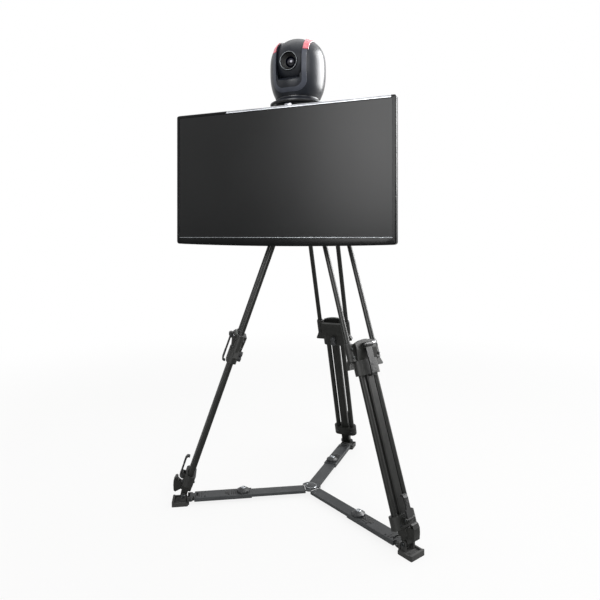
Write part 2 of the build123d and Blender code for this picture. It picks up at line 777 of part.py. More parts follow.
def make_board():
    """Driver board on the back of the panel."""
    y = display_front_y + panel_set_back + panel_thick
    half = board_width / 2
    z = (display_centre_height - board_height / 2, display_centre_height + board_height / 2)
    board = block((head_offset - half, head_offset + half), (y + 6, y + 8), z)
    for sx in (-1, 1):
        for sz in (-1, 1):
            spacer_z = display_centre_height + sz * (board_height / 2 - 8)
            board += rod(3.0, head_offset + sx * (half - 8), (y, y + 6), spacer_z)
    chips = ((-90, 20, 22), (-20, -10, 30), (60, 15, 18), (110, -20, 14))
    for cx, cz, size in chips:
        x = head_offset + cx
        z = display_centre_height + cz
        board += block((x - size / 2, x + size / 2), (y + 8, y + 12), (z - size / 2, z + size / 2))
    return board


def make_shelf():
    half = shelf_width / 2
    shelf_x = (head_offset - half, head_offset + half)
    shelf = block(shelf_x, (ptz_y - half, ptz_y + half), (shelf_height, ptz_bottom))
    shelf = fillet(edges_along(shelf, Axis.Z), 16.0)
    return shelf - rod(3.2, head_offset, ptz_y, (shelf_height - 1, shelf_height + 3))


# Pan-tilt camera
def egg(proud=0.0):
    """The camera's rounded shell, turned about its upright axis."""
    z0 = ptz_shell_bottom
    belly = z0 + ptz_belly_height
    wide = ptz_belly_radius + proud
    rise = ptz_shell_tall - ptz_belly_height + proud
    points = []
    for part in (1.0, 0.75, 0.5, 0.25):
        narrow = (ptz_belly_radius - ptz_foot_radius) * part ** ptz_foot_fullness
        points.append((wide - narrow, belly - ptz_belly_height * part))
    for part in (0.0, 0.25, 0.5, 0.7, 0.84, 0.94, 0.985):
        points.append((wide * sqrt(1 - part ** ptz_top_fullness), belly + rise * part))
    top = belly + rise
    line = Spline(*points, (0, top), tangents=((0.4, 1), (-1, 0)))
    outline = line + Polyline((0, top), (0, z0), points[0])
    return Pos(head_offset, ptz_y, 0) * revolve(make_face(Plane.XZ * outline), Axis.Z)


def window_outline(half, sill, radius, back=0.0):
    """Front opening as a tall shape with a round bottom, swept back from the front."""
    top = ptz_shell_bottom + ptz_shell_tall + 20
    low = ptz_shell_bottom + sill
    plane = Plane(origin=(head_offset, ptz_y - ptz_belly_radius - 10, 0), x_dir=(1, 0, 0), z_dir=(0, -1, 0))
    face = make_face(plane * Polyline((-half, low), (half, low), (half, top), (-half, top), close=True))
    solid = extrude(face, -(ptz_belly_radius + 10 + back))
    corners = solid.edges().filter_by(Axis.Y).sort_by(Axis.Z)[:2]
    return fillet(corners, radius)


def drum_cut(radius, half):
    height = ptz_shell_bottom + drum_height
    return rod(radius, (head_offset - half, head_offset + half), ptz_y, height)


def make_ptz_base():
    z0 = ptz_bottom
    z1 = ptz_bottom + ptz_base_tall
    neck = ptz_foot_radius - 2
    base = rod(neck - 12, 0, 0, (z0, z0 + 3))
    base += rod(ptz_base_radius, 0, 0, (z0 + 2, z0 + 6))
    base += Pos(0, 0, z0 + 12) * Cone(ptz_base_radius - 4, neck, 12)
    base += rod(neck, 0, 0, (z0 + 18, z1))
    base = Pos(head_offset, ptz_y, 0) * base
    base += rod(24.0, head_offset, ptz_y, (z1, z1 + 8))
    base -= rod(neck - 8, head_offset, ptz_y, (z0 + 12, z1 - 6))
    return base - rod(3.2, head_offset, ptz_y, (z0 - 1, z0 + 9))


def make_ptz_shell():
    height = ptz_shell_bottom + drum_height
    half = drum_width / 2 + drum_gap
    shell = egg()
    shell -= drum_cut(drum_radius + drum_gap, half)
    shell -= window_outline(half, window_sill, 18.0, drum_radius / 2)
    front = ptz_y - ptz_belly_radius - 10
    chin = make_face(Plane.YZ * Polyline(
        (front, ptz_shell_bottom + window_sill - 22),
        (front + 34, ptz_shell_bottom + window_sill),
        (front, ptz_shell_bottom + window_sill + 10),
        close=True,
    ))
    shell -= Pos(head_offset, 0, 0) * extrude(chin, half - 6, both=True)
    reach = half + axle_reach + 1
    axle_x = (head_offset - reach, head_offset + reach)
    shell -= rod(axle_radius + running, axle_x, ptz_y, height)
    pivot_top = ptz_shell_bottom + 8 + side_gap
    return shell - rod(24.0 + running, head_offset, ptz_y, (ptz_shell_bottom - 1, pivot_top))


def make_ptz_trim():
    """U-shaped band round the front opening, a skin on the shell."""
    half = drum_width / 2 + drum_gap
    low = window_sill - 22
    band = window_outline(half + trim_band, 9.0, 40.0) - window_outline(half, low, 22.0)
    far = (head_offset - 120, head_offset + 120)
    band -= block(far, (ptz_y - 120, ptz_y + 1), (ptz_shell_bottom + 142, ptz_shell_bottom + 400))
    skin = egg(trim_proud) - egg(skin_gap)
    return skin & band


def make_tally_lights():
    """Signal lamps on the two shoulders of the shell."""
    half = drum_width / 2 + drum_gap
    cap = egg(tally_proud) - egg(skin_gap)
    z = (ptz_shell_bottom + 143, ptz_shell_bottom + 184)
    lights = []
    for sign in (-1, 1):
        edge = half + 2
        x = tuple(sorted((head_offset + sign * edge, head_offset + sign * (edge + tally_width))))
        light = cap & block(x, (ptz_y - 90, ptz_y - 8), z)
        lights.append(light.solids().sort_by(Axis.Y)[0])
    return Compound(lights)


def make_drum():
    """Tilting head between the two arms, built level about its axle and then drooped."""
    half = drum_width / 2
    drum = Sphere(drum_radius) & block((-half, half), (-100, 100), (-100, 100))
    drum -= rod(lens_radius, 0, (-drum_radius - 10, -drum_radius + lens_depth), 0)
    reach = half + drum_gap + axle_reach
    drum += rod(axle_radius, (-reach, reach), 0, 0)
    return tilted_about_axle(drum)


def tilted_about_axle(shape):
    return Pos(head_offset, ptz_y, ptz_shell_bottom + drum_height) * Rot(lens_droop, 0, 0) * shape


def make_lens():
    """Lens barrel with its stepped ring and front element."""
    front = -sqrt(drum_radius ** 2 - lens_radius ** 2) - 5.0
    back = -drum_radius + lens_depth
    bore = lens_radius - lens_rim
    barrel = rod(lens_radius, 0, (front, back), 0)
    barrel = fillet(barrel.faces().sort_by(Axis.Y)[0].edges(), 1.5)
    barrel -= rod(bore, 0, (front - 1, front + 8), 0)
    barrel -= rod(bore - 7, 0, (front - 1, front + 14), 0)
    glass = Pos(0, front + 30, 0) * Sphere(20.0)
    glass = glass & rod(bore - 7, 0, (front + 2, front + 14), 0)
    return tilted_about_axle(barrel + glass)


def make_leg(name, turn):
    nodes[f"{name}_leg_yoke"] = on_leg(make_yoke(), turn)
    nodes[f"{name}_leg_rods"] = on_leg(make_rods(), turn)
    nodes[f"{name}_mid_block"] = on_leg(make_mid_block(), turn)
    mid_lever = hooked_lever(lever_out, -3.0, mid_lever_down, mid_lever_reach, -1, mid_lever_flare)
    nodes[f"{name}_mid_lever"] = on_leg(mid_lever, turn)
    nodes[f"{name}_mid_knob"] = on_leg(make_mid_knob(), turn)
    nodes[f"{name}_middle_tubes"] = on_leg(make_middle_tubes(), turn)
    nodes[f"{name}_lower_bracket"] = on_leg(make_bracket(), turn)
    low_lever = hooked_lever(low_lever_out, 2.0, low_lever_down, low_lever_reach, 1)
    nodes[f"{name}_lower_lever"] = on_leg(low_lever, turn)
    nodes[f"{name}_lower_leg"] = on_leg(make_lower_leg(), turn)
    nodes[f"{name}_foot_shoe"] = on_floor(make_shoe(), turn)
    nodes[f"{name}_arm_sleeve"] = on_floor(make_sleeve(), turn)
    nodes[f"{name}_arm_bar"] = on_floor(make_bar(), turn)
    nodes[f"{name}_arm_knob"] = on_floor(make_arm_knob(), turn)


def make_stand():
    nodes["crown"] = make_crown()
    nodes["crown_pins"] = make_crown_pins()
    nodes["bowl_adapter"] = make_adapter()
    nodes["tie_down_knob"] = make_tie_knob()
    for name, turn in leg_turns.items():
        make_leg(name, turn)
    nodes["spreader_hub"] = make_hub()
    nodes["head_base"] = make_head_base()
    nodes["head_post"] = make_post()
    nodes["tilt_arm"] = make_tilt_arm()
    nodes["display_bracket"] = make_display_bracket()
    nodes["vesa_screws"] = make_vesa_screws()
    nodes["front_bezel"] = make_bezel()
    nodes["display_panel"] = make_panel()
    nodes["display_board"] = make_board()
    nodes["rear_cover"] = make_cover()
    nodes["camera_shelf"] = make_shelf()
    nodes["ptz_base"] = make_ptz_base()
    nodes["ptz_shell"] = make_ptz_shell()
    nodes["ptz_trim"] = make_ptz_trim()
    nodes["tally_lights"] = make_tally_lights()
    nodes["tilt_drum"] = make_drum()
    nodes["lens"] = make_lens()


make_stand()

# The stand's origin is the middle of its footprint, on the floor
corners = [shape.bounding_box() for shape in nodes.values()]
middle_x = (min(box.min.X for box in corners) + max(box.max.X for box in corners)) / 2
middle_y = (min(box.min.Y for box in corners) + max(box.max.Y for box in corners)) / 2
origin_shift = (-middle_x, -middle_y)

os.makedirs("parts", exist_ok=True)
for name, shape in nodes.items():
    placed = Pos(origin_shift[0], origin_shift[1], 0) * shape
    export_step(placed, f"parts/{name}.step")
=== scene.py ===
import json
from math import asin, cos, pi, radians, sin

import bmesh
import bpy
from mathutils import Matrix, Vector


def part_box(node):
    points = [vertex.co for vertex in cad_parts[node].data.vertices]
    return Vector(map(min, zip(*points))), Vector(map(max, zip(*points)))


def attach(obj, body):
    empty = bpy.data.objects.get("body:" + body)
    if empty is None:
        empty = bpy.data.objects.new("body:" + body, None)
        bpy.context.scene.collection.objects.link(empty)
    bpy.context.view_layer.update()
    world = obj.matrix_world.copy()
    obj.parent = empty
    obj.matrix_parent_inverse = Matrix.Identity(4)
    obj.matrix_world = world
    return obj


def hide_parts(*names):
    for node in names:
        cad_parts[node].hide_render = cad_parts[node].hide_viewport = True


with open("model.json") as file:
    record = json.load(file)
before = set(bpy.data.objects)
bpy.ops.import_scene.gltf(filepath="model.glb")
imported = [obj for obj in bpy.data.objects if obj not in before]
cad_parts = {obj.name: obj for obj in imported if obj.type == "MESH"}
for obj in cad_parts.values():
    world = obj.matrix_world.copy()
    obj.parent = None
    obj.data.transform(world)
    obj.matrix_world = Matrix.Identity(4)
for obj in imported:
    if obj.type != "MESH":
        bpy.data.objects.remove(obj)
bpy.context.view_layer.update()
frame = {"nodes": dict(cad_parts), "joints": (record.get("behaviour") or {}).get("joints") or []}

mm = 0.001
nodes = frame["nodes"]
joints = {joint["name"]: joint for joint in frame["joints"]}
legNames = ("back", "left", "right")
standAxis = Vector(joints["bowl_level"]["pos_m"]) / mm   # the tripod's own upright axis, in mm
tiltAxle = Vector(joints["camera_tilt"]["pos_m"]) / mm
panAxis = Vector(joints["camera_pan"]["pos_m"]) / mm


# Places: every piece is modelled in mm in one of these frames and then carried to metres
def frameFrom(sideways, outward, upward, origin):
    turn = Matrix((sideways, outward, upward)).transposed().to_4x4()
    return Matrix.Translation(Vector(origin) * mm) @ turn @ Matrix.Scale(mm, 4)


standFrame = frameFrom((1, 0, 0), (0, 1, 0), (0, 0, 1), (0, 0, 0))
legFrames, armFrames = {}, {}
for legName in legNames:
    fold = joints[f"{legName}_leg_fold"]
    sideways = -Vector(fold["axis"])
    upward = Vector(joints[f"{legName}_middle_slide"]["axis"])
    legFrames[legName] = frameFrom(sideways, upward.cross(sideways), upward, Vector(fold["pos_m"]) / mm)
    outward = Vector((0, 0, 1)).cross(sideways)
    armFrames[legName] = frameFrom(sideways, outward, (0, 0, 1), (standAxis.x, standAxis.y, 0))


def boxMm(nodeName):
    return [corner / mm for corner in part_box(nodeName)]


# Colour and node helpers
def linearColour(hexText):
    channels = [int(hexText[i:i + 2], 16) / 255 for i in (1, 3, 5)]
    return (*[c / 12.92 if c <= 0.04045 else ((c + 0.055) / 1.055) ** 2.4 for c in channels], 1.0)


def addNode(tree, kind, inputs=None, **settings):
    node = tree.nodes.new(kind)
    for name, value in settings.items():
        setattr(node, name, value)
    for name, value in (inputs or {}).items():
        if isinstance(value, bpy.types.NodeSocket):
            tree.links.new(value, node.inputs[name])
        else:
            node.inputs[name].default_value = value
    return node


def mathNode(tree, operation, first, second=0.0):
    node = addNode(tree, "ShaderNodeMath", operation=operation)
    for socket, value in zip(node.inputs, (first, second)):
        if isinstance(value, bpy.types.NodeSocket):
            tree.links.new(value, socket)
        else:
            socket.default_value = value
    return node.outputs["Value"]


def startMaterial(name, colour, roughness, **sockets):
    material = bpy.data.materials.new(name)
    material.use_nodes = True
    tree = material.node_tree
    shader = tree.nodes["Principled BSDF"]
    shader.inputs["Base Color"].default_value = linearColour(colour)
    shader.inputs["Roughness"].default_value = roughness
    for socket, value in sockets.items():
        shader.inputs[socket.replace("_", " ")].default_value = value
    return material, tree, shader


def scaleFor(sizeMm):
    return 1.0 / (sizeMm * mm)      # noise scale at which one blotch is about that size


def blotches(tree, sizeMm, stretch=None, detail=3.0):
    # noise on Object coordinates; stretch turns and draws it out along a direction
    coords = addNode(tree, "ShaderNodeTexCoord").outputs["Object"]
    if stretch:
        turn, along = stretch
        coords = addNode(tree, "ShaderNodeMapping", {
            "Vector": coords, "Rotation": turn, "Scale": along}).outputs["Vector"]
    noise = addNode(tree, "ShaderNodeTexNoise", {
        "Vector": coords, "Scale": scaleFor(sizeMm), "Detail": detail})
    return noise.outputs["Fac"]


def tintBetween(tree, shader, factor, darkHex, lightHex, low=0.35, high=0.65):
    spread = addNode(tree, "ShaderNodeMapRange", {"Value": factor, "From Min": low, "From Max": high})
    mix = addNode(tree, "ShaderNodeMix", {"Factor": spread.outputs["Result"]}, data_type="RGBA")
    mix.inputs["A"].default_value = linearColour(darkHex)
    mix.inputs["B"].default_value = linearColour(lightHex)
    tree.links.new(mix.outputs["Result"], shader.inputs["Base Color"])
    return mix


def roughBetween(tree, shader, factor, low, high):
    spread = addNode(tree, "ShaderNodeMapRange", {"Value": factor, "To Min": low, "To Max": high})
    tree.links.new(spread.outputs["Result"], shader.inputs["Roughness"])


def softEdge(tree, radiusMm):
    return addNode(tree, "ShaderNodeBevel", {"Radius": radiusMm * mm}, samples=4).outputs["Normal"]


def grain(tree, shader, sizeMm, heightMm, edgeMm=0.6, stretch=None):
    # fine relief over softly rounded edges
    height = blotches(tree, sizeMm, stretch)
    bump = addNode(tree, "ShaderNodeBump", {
        "Height": height, "Distance": heightMm * mm, "Normal": softEdge(tree, edgeMm)})
    tree.links.new(bump.outputs["Normal"], shader.inputs["Normal"])
    return height


edgeWear = {"starts": 0.995, "full": 0.9, "patchMm": 6.0}   # how far the two normals agree, and patch size


def wornEdges(tree, shader, colourMix, wornHex, radiusMm=0.9, amount=0.6):
    # paint rubbed thin where the rounded normal leaves the flat one
    match = addNode(tree, "ShaderNodeVectorMath", operation="DOT_PRODUCT")
    tree.links.new(addNode(tree, "ShaderNodeNewGeometry").outputs["Normal"], match.inputs[0])
    tree.links.new(softEdge(tree, radiusMm), match.inputs[1])
    edge = addNode(tree, "ShaderNodeMapRange", {
        "Value": match.outputs["Value"], "From Min": edgeWear["starts"], "From Max": edgeWear["full"]})
    patchy = mathNode(tree, "MULTIPLY", edge.outputs["Result"], blotches(tree, edgeWear["patchMm"]))
    worn = addNode(tree, "ShaderNodeMix", {"Factor": mathNode(tree, "MULTIPLY", patchy, amount)},
                   data_type="RGBA")
    tree.links.new(colourMix.outputs["Result"], worn.inputs["A"])
    worn.inputs["B"].default_value = linearColour(wornHex)
    tree.links.new(worn.outputs["Result"], shader.inputs["Base Color"])


# Materials, each named for the finish of the real thing; one bright metal also serves as a painted reflection
# on the bezel's top
def powderCoat(name, darkHex, lightHex, wornHex, roughness=0.5, grainMm=1.4):
    # baked powder on die-cast aluminium: orange peel, rubbed grey on the corners
    material, tree, shader = startMaterial(name, darkHex, roughness, Specular_IOR_Level=0.28)
    height = grain(tree, shader, sizeMm=grainMm, heightMm=0.08)
    mix = tintBetween(tree, shader, blotches(tree, sizeMm=38.0), darkHex, lightHex)
    roughBetween(tree, shader, height, low=roughness - 0.08, high=roughness + 0.12)
    wornEdges(tree, shader, mix, wornHex)
    return material


def anodisedTube(name, legName):
    # drawn aluminium tube, black anodised: faint draw lines along the leg, silky sheen
    material, tree, shader = startMaterial(name, "#1c1d1b", 0.38, Specular_IOR_Level=0.22)
    turn = legFrames[legName].to_3x3().normalized().inverted().to_euler()
    stretch = (turn, (1.0, 1.0, 0.02))
    height = grain(tree, shader, sizeMm=0.9, heightMm=0.03, edgeMm=0.3, stretch=stretch)
    tintBetween(tree, shader, blotches(tree, sizeMm=14.0, stretch=stretch), "#131412", "#1c1d1b")
    roughBetween(tree, shader, height, low=0.28, high=0.46)
    return material


def mouldedNylon(name, darkHex, lightHex, roughness=0.48, grainMm=0.9):
    # glass-filled nylon from a spark-eroded mould: matte, fine pebbled skin
    material, tree, shader = startMaterial(name, darkHex, roughness, Specular_IOR_Level=0.3)
    height = grain(tree, shader, sizeMm=grainMm, heightMm=0.05, edgeMm=0.8)
    tintBetween(tree, shader, blotches(tree, sizeMm=20.0), darkHex, lightHex)
    roughBetween(tree, shader, height, low=roughness - 0.08, high=roughness + 0.1)
    return material


def turnedSteel(name, darkHex, lightHex, roughness=0.3, cloudMm=9.0):
    # turned and zinc-plated steel: bright, slightly clouded by handling
    material, tree, shader = startMaterial(name, lightHex, roughness, Metallic=1.0)
    height = grain(tree, shader, sizeMm=0.5, heightMm=0.015, edgeMm=0.3)
    tintBetween(tree, shader, blotches(tree, sizeMm=cloudMm), darkHex, lightHex)
    roughBetween(tree, shader, height, low=roughness - 0.08, high=roughness + 0.14)
    return material


def soleRubber():
    # moulded EPDM: dead matte, dusty on the raised parts
    material, tree, shader = startMaterial("sole rubber EPDM", "#1a1a19", 0.82)
    grain(tree, shader, sizeMm=1.6, heightMm=0.12, edgeMm=1.0)
    mix = tintBetween(tree, shader, blotches(tree, sizeMm=22.0), "#151514", "#232321")
    wornEdges(tree, shader, mix, "#3c3b38", radiusMm=1.2, amount=0.5)
    return material


def glossAbs():
    # polished black ABS: deep gloss with a faint moulding ripple
    material, tree, shader = startMaterial(
        "display bezel polished ABS", "#0b0c0d", 0.24, Specular_IOR_Level=0.1)
    height = grain(tree, shader, sizeMm=26.0, heightMm=0.02, edgeMm=0.4)
    tintBetween(tree, shader, blotches(tree, sizeMm=60.0), "#090a0b", "#0e0f10")
    roughBetween(tree, shader, height, low=0.18, high=0.28)
    return material


def antiGlarePanel():
    # etched anti-glare film over a switched-off panel: soft wide reflections on charcoal
    material, tree, shader = startMaterial(
        "display panel anti-glare film", "#0e0f10", 0.3, Specular_IOR_Level=0.16)
    height = grain(tree, shader, sizeMm=0.7, heightMm=0.004, edgeMm=0.2)
    tintBetween(tree, shader, blotches(tree, sizeMm=180.0, detail=1.0), "#0c0d0e", "#111213")
    roughBetween(tree, shader, height, low=0.26, high=0.34)
    return material


def texturedAbs():
    # spark-eroded black ABS: matte, even leather-like pips
    material, tree, shader = startMaterial("rear cover textured ABS", "#17181a", 0.6)
    height = grain(tree, shader, sizeMm=1.1, heightMm=0.1, edgeMm=0.8)
    mix = tintBetween(tree, shader, blotches(tree, sizeMm=70.0), "#141516", "#1d1e20")
    roughBetween(tree, shader, height, low=0.52, high=0.7)
    wornEdges(tree, shader, mix, "#34363a", radiusMm=1.2, amount=0.4)
    return material


def boardLaminate():
    # green solder mask over woven glass laminate
    material, tree, shader = startMaterial("driver board glass laminate", "#0f4a2a", 0.4)
    grain(tree, shader, sizeMm=1.5, heightMm=0.05, edgeMm=0.2)
    tintBetween(tree, shader, blotches(tree, sizeMm=8.0), "#0c3d22", "#1a6a3c")
    return material


def satinPaint(name, darkHex, lightHex, roughness=0.34):
    # two-coat satin paint on moulded polycarbonate: blue-grey with a clear top coat
    material, tree, shader = startMaterial(
        name, darkHex, roughness, Coat_Weight=0.08, Coat_Roughness=0.16, Specular_IOR_Level=0.2)
    height = grain(tree, shader, sizeMm=0.8, heightMm=0.012, edgeMm=0.5)
    tintBetween(tree, shader, blotches(tree, sizeMm=45.0), darkHex, lightHex)
    roughBetween(tree, shader, height, low=roughness - 0.05, high=roughness + 0.07)
    return material


# Painted shade: a darker patch for the scoop inside the band's lower arc, in mm from the shell's foot and the
# pan axis
chinShade = {"band": 13.0, "above": 22.0, "round": 27.0, "blend": 0.8, "colour": "#23262d"}


def bandPaint():
    # satin paint like the shell's but lighter, with painted shade for the scoop below the opening
    material = satinPaint("camera band satin paint", "#454954", "#515560")
    tree = material.node_tree
    shader = tree.nodes["Principled BSDF"]
    trimLow, trimHigh = boxMm("ptz_trim")
    footHeight = boxMm("ptz_shell")[0].z
    straight = (trimHigh.x - trimLow.x) / 2 - chinShade["band"] - chinShade["round"]
    arcHeight = footHeight + chinShade["above"] + chinShade["round"]
    coords = addNode(tree, "ShaderNodeTexCoord").outputs["Object"]
    place = addNode(tree, "ShaderNodeSeparateXYZ", {"Vector": coords}).outputs
    across = mathNode(tree, "ABSOLUTE", mathNode(tree, "SUBTRACT", place["X"], panAxis.x * mm))
    across = mathNode(tree, "MAXIMUM", mathNode(tree, "SUBTRACT", across, straight * mm))
    below = mathNode(tree, "MAXIMUM", mathNode(tree, "SUBTRACT", arcHeight * mm, place["Z"]))
    squares = [mathNode(tree, "POWER", distance, 2.0) for distance in (across, below)]
    reach = mathNode(tree, "SQRT", mathNode(tree, "ADD", *squares))
    # painted shade: this mask darkens the band inside the scoop's rounded outline
    inside = addNode(tree, "ShaderNodeMapRange", {
        "Value": reach, "From Min": chinShade["round"] * mm, "From Max": (chinShade["round"] - chinShade["blend"]) * mm})
    paint = shader.inputs["Base Color"].links[0].from_socket
    mix = addNode(tree, "ShaderNodeMix", {"Factor": inside.outputs["Result"]}, data_type="RGBA")
    tree.links.new(paint, mix.inputs["A"])
    mix.inputs["B"].default_value = linearColour(chinShade["colour"])
    tree.links.new(mix.outputs["Result"], shader.inputs["Base Color"])
    return material


def lampCover():
    # pink-red diffusing polycarbonate: light goes a little way in, frosted skin
    material, tree, shader = startMaterial(
        "signal lamp frosted polycarbonate", "#f2808c", 0.3, Subsurface_Weight=0.35)
    shader.inputs["Subsurface Radius"].default_value = (0.004, 0.0015, 0.0015)
    shader.inputs["Subsurface Scale"].default_value = 1.0
    height = grain(tree, shader, sizeMm=1.2, heightMm=0.02, edgeMm=0.8)
    tintBetween(tree, shader, blotches(tree, sizeMm=9.0), "#ee7281", "#f78f99")
    roughBetween(tree, shader, height, low=0.24, high=0.38)
    return material


def lensBlack():
    # black anodised barrel with a soft satin edge
    material, tree, shader = startMaterial("lens barrel anodised", "#0a0b0c", 0.42, Specular_IOR_Level=0.12)
    height = grain(tree, shader, sizeMm=0.6, heightMm=0.02, edgeMm=0.3)
    mix = tintBetween(tree, shader, blotches(tree, sizeMm=7.0), "#070808", "#0d0e0f")
    roughBetween(tree, shader, height, low=0.24, high=0.4)
    wornEdges(tree, shader, mix, "#55585c", radiusMm=0.5, amount=0.5)
    return material


def lensGlass():
    # coated front element: dark inside, sharp highlights, a faint violet bloom
    material, tree, shader = startMaterial(
        "lens coated glass", "#070a12", 0.04, IOR=1.42, Coat_Weight=0.25, Coat_Roughness=0.03)
    shader.inputs["Coat Tint"].default_value = linearColour("#c9c4ff")
    tintBetween(tree, shader, blotches(tree, sizeMm=12.0), "#05070d", "#0c1120")
    return material


casting = powderCoat("leg casting powder coat", "#111210", "#1a1b19", "#3d3f3b")
armCoat = powderCoat("spreader arm powder coat", "#343638", "#3f4143", "#6c6f72", roughness=0.46, grainMm=1.1)
steelPlate = powderCoat("head plate powder coat", "#121315", "#1a1b1d", "#3f4145", roughness=0.44)
tubes = {legName: anodisedTube(f"{legName} leg anodised tube", legName) for legName in legNames}
leverNylon = mouldedNylon("lever moulded nylon", "#121313", "#191a1a")
knobNylon = mouldedNylon("knob moulded nylon", "#2c2e30", "#38393b", roughness=0.42)
crestSatin = powderCoat("crest plate satin coat", "#4a4f4b", "#5c625d", "#8a908a", roughness=0.34)
plated = turnedSteel("fastener zinc-plated steel", "#6e7072", "#939597")
brightPlate = turnedSteel("bracket bright steel", "#a2a3a9", "#bfc0c6", roughness=0.26)
# bright metal for part of the bezel's top round: a painted reflection of the light on the black gloss
bezelReflectionMetal = turnedSteel("bezel top metal with painted reflection", "#a4a6ab", "#bfc1c5", roughness=0.34, cloudMm=60.0)
ringSatin = turnedSteel("lens ring satin metal", "#54575a", "#6e7174", roughness=0.42)
darkSteel = turnedSteel("screw blackened steel", "#2a2b2c", "#414344", roughness=0.38)
hubMetal = turnedSteel("hub disc spun aluminium", "#6d6f72", "#85888b", roughness=0.42)
sole = soleRubber()
bezelGloss = glossAbs()
panelFilm = antiGlarePanel()
coverAbs = texturedAbs()
board = boardLaminate()
cameraPaint = satinPaint("camera shell satin paint", "#1f2229", "#262a32")
drumPaint = satinPaint("camera drum satin paint", "#1b1e25", "#22262e", roughness=0.38)
trimPaint = bandPaint()
lamp = lampCover()
barrelBlack = lensBlack()
glass = lensGlass()
print("materials ready")


# CAD nodes that keep their shape take a finish here
def dress(nodeName, material):
    mesh = nodes[nodeName].data
    mesh.materials.clear()
    mesh.materials.append(material)


for legName in legNames:
    finishes = {
        "leg_yoke": casting, "leg_rods": tubes[legName], "mid_block": casting, "mid_lever": leverNylon,
        "mid_knob": knobNylon, "middle_tubes": tubes[legName], "lower_bracket": casting,
        "lower_lever": leverNylon, "lower_leg": tubes[legName], "foot_shoe": sole, "arm_sleeve": armCoat,
        "arm_bar": armCoat, "arm_knob": knobNylon,
    }
    for part, material in finishes.items():
        dress(f"{legName}_{part}", material)
for nodeName, material in {
    "crown": casting, "crown_pins": plated, "bowl_adapter": casting, "tie_down_knob": knobNylon,
    "spreader_hub": armCoat, "head_base": steelPlate, "head_post": steelPlate, "tilt_arm": steelPlate,
    "display_bracket": steelPlate, "vesa_screws": plated, "display_panel": panelFilm,
    "display_board": board, "rear_cover": coverAbs, "camera_shelf": steelPlate, "ptz_base": cameraPaint,
    "ptz_shell": cameraPaint, "ptz_trim": trimPaint, "tally_lights": lamp, "tilt_drum": drumPaint,
    "front_bezel": bezelGloss, "lens": barrelBlack,
}.items():
    dress(nodeName, material)


# Mesh helpers, all in mm
def arcRadius(halfSpan, rise):
    return (halfSpan ** 2 + rise ** 2) / (2 * rise)


def turned(bm, profile, centre, axis, steps=32, closed=False):
    # profile is radius and distance-along-the-axis pairs, swung round the axis
    axis = Vector(axis).normalized()
    side = axis.orthogonal().normalized()
    ring = [bm.verts.new(Vector(centre) + side * radius + axis * along) for radius, along in profile]
    links = list(zip(ring, ring[1:])) + ([(ring[-1], ring[0])] if closed else [])
    edges = [bm.edges.new(pair) for pair in links]
    bmesh.ops.spin(bm, geom=ring + edges, cent=centre, axis=axis, angle=2 * pi, steps=steps, use_merge=True)


def bevelled(bm, low, high, radius=0.8, segments=2):
    # a block with rounded edges between two corners
    low, high = Vector(low), Vector(high)
    made = bmesh.ops.create_cube(bm, size=1.0)["verts"]
    bmesh.ops.scale(bm, vec=high - low, verts=made)
    bmesh.ops.translate(bm, vec=(low + high) / 2, verts=made)
    edges = list({edge for vert in made for edge in vert.link_edges})
    bmesh.ops.bevel(bm, geom=edges, offset=radius, affect="EDGES", segments=segments, profile=0.5,
                     material=-1)


# Shares of a cap head's radius, and of its height for the socket's floor
capHead = {
    "chamfer": 0.15, "face": 0.86, "land": 0.6, "socket": 0.5, "floor": 0.35, "steps": 24, "near": 0.01,
}


def capScrew(bm, centre, axis, radius, tall):
    # cap head with a hexagon socket
    shoulder, floor = tall - capHead["chamfer"] * radius, capHead["floor"] * tall
    face, land, socket = (capHead[share] * radius for share in ("face", "land", "socket"))
    turned(bm, [(0, 0), (radius, 0), (radius, shoulder), (face, tall), (land, tall)],
           centre, axis, capHead["steps"])
    turned(bm, [(socket, tall), (socket, floor), (0, floor)], centre, axis, 6)
    axis = Vector(axis).normalized()
    plane = Vector(centre).dot(axis) + tall
    rim = [edge for edge in bm.edges if edge.is_boundary
           and all(abs(vert.co.dot(axis) - plane) < capHead["near"] for vert in edge.verts)
           and (edge.verts[0].co - Vector(centre)).length < tall + radius]
    bmesh.ops.bridge_loops(bm, edges=rim)


def finishPiece(bm, name, place, body, material, sharpAngle=35):
    bmesh.ops.remove_doubles(bm, verts=bm.verts, dist=0.001)
    bmesh.ops.recalc_face_normals(bm, faces=bm.faces)
    bm.transform(place)
    mesh = bpy.data.meshes.new(name)
    bm.to_mesh(mesh)
    bm.free()
    for polygon in mesh.polygons:
        polygon.use_smooth = True
    mesh.set_sharp_from_angle(angle=radians(sharpAngle))
    mesh.materials.append(material)
    piece = bpy.data.objects.new(name, mesh)
    bpy.context.collection.objects.link(piece)
    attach(piece, body)
    return piece


# Display bezel: rings laid round its outline, with a wide round along the top edge, part of it in bright
# metal as a painted reflection
bezel = {
    "side": 11.0, "bottom": 20.0, "bow": 6.0, "bowSteps": 24, "corner": 8.5, "cornerSteps": 6,
    "round": 3.2, "topRound": 8.6, "roundSteps": 7, "lipRound": 0.8, "lipSteps": 4,
    "wallInset": 1.2, "panelGap": 0.4, "panelLap": 0.1, "sharpAngle": 50,
    "reflectionFrom": 187.0, "reflectionTo": 15.0,   # painted reflection: bright metal along the top, by its distance from each end
}


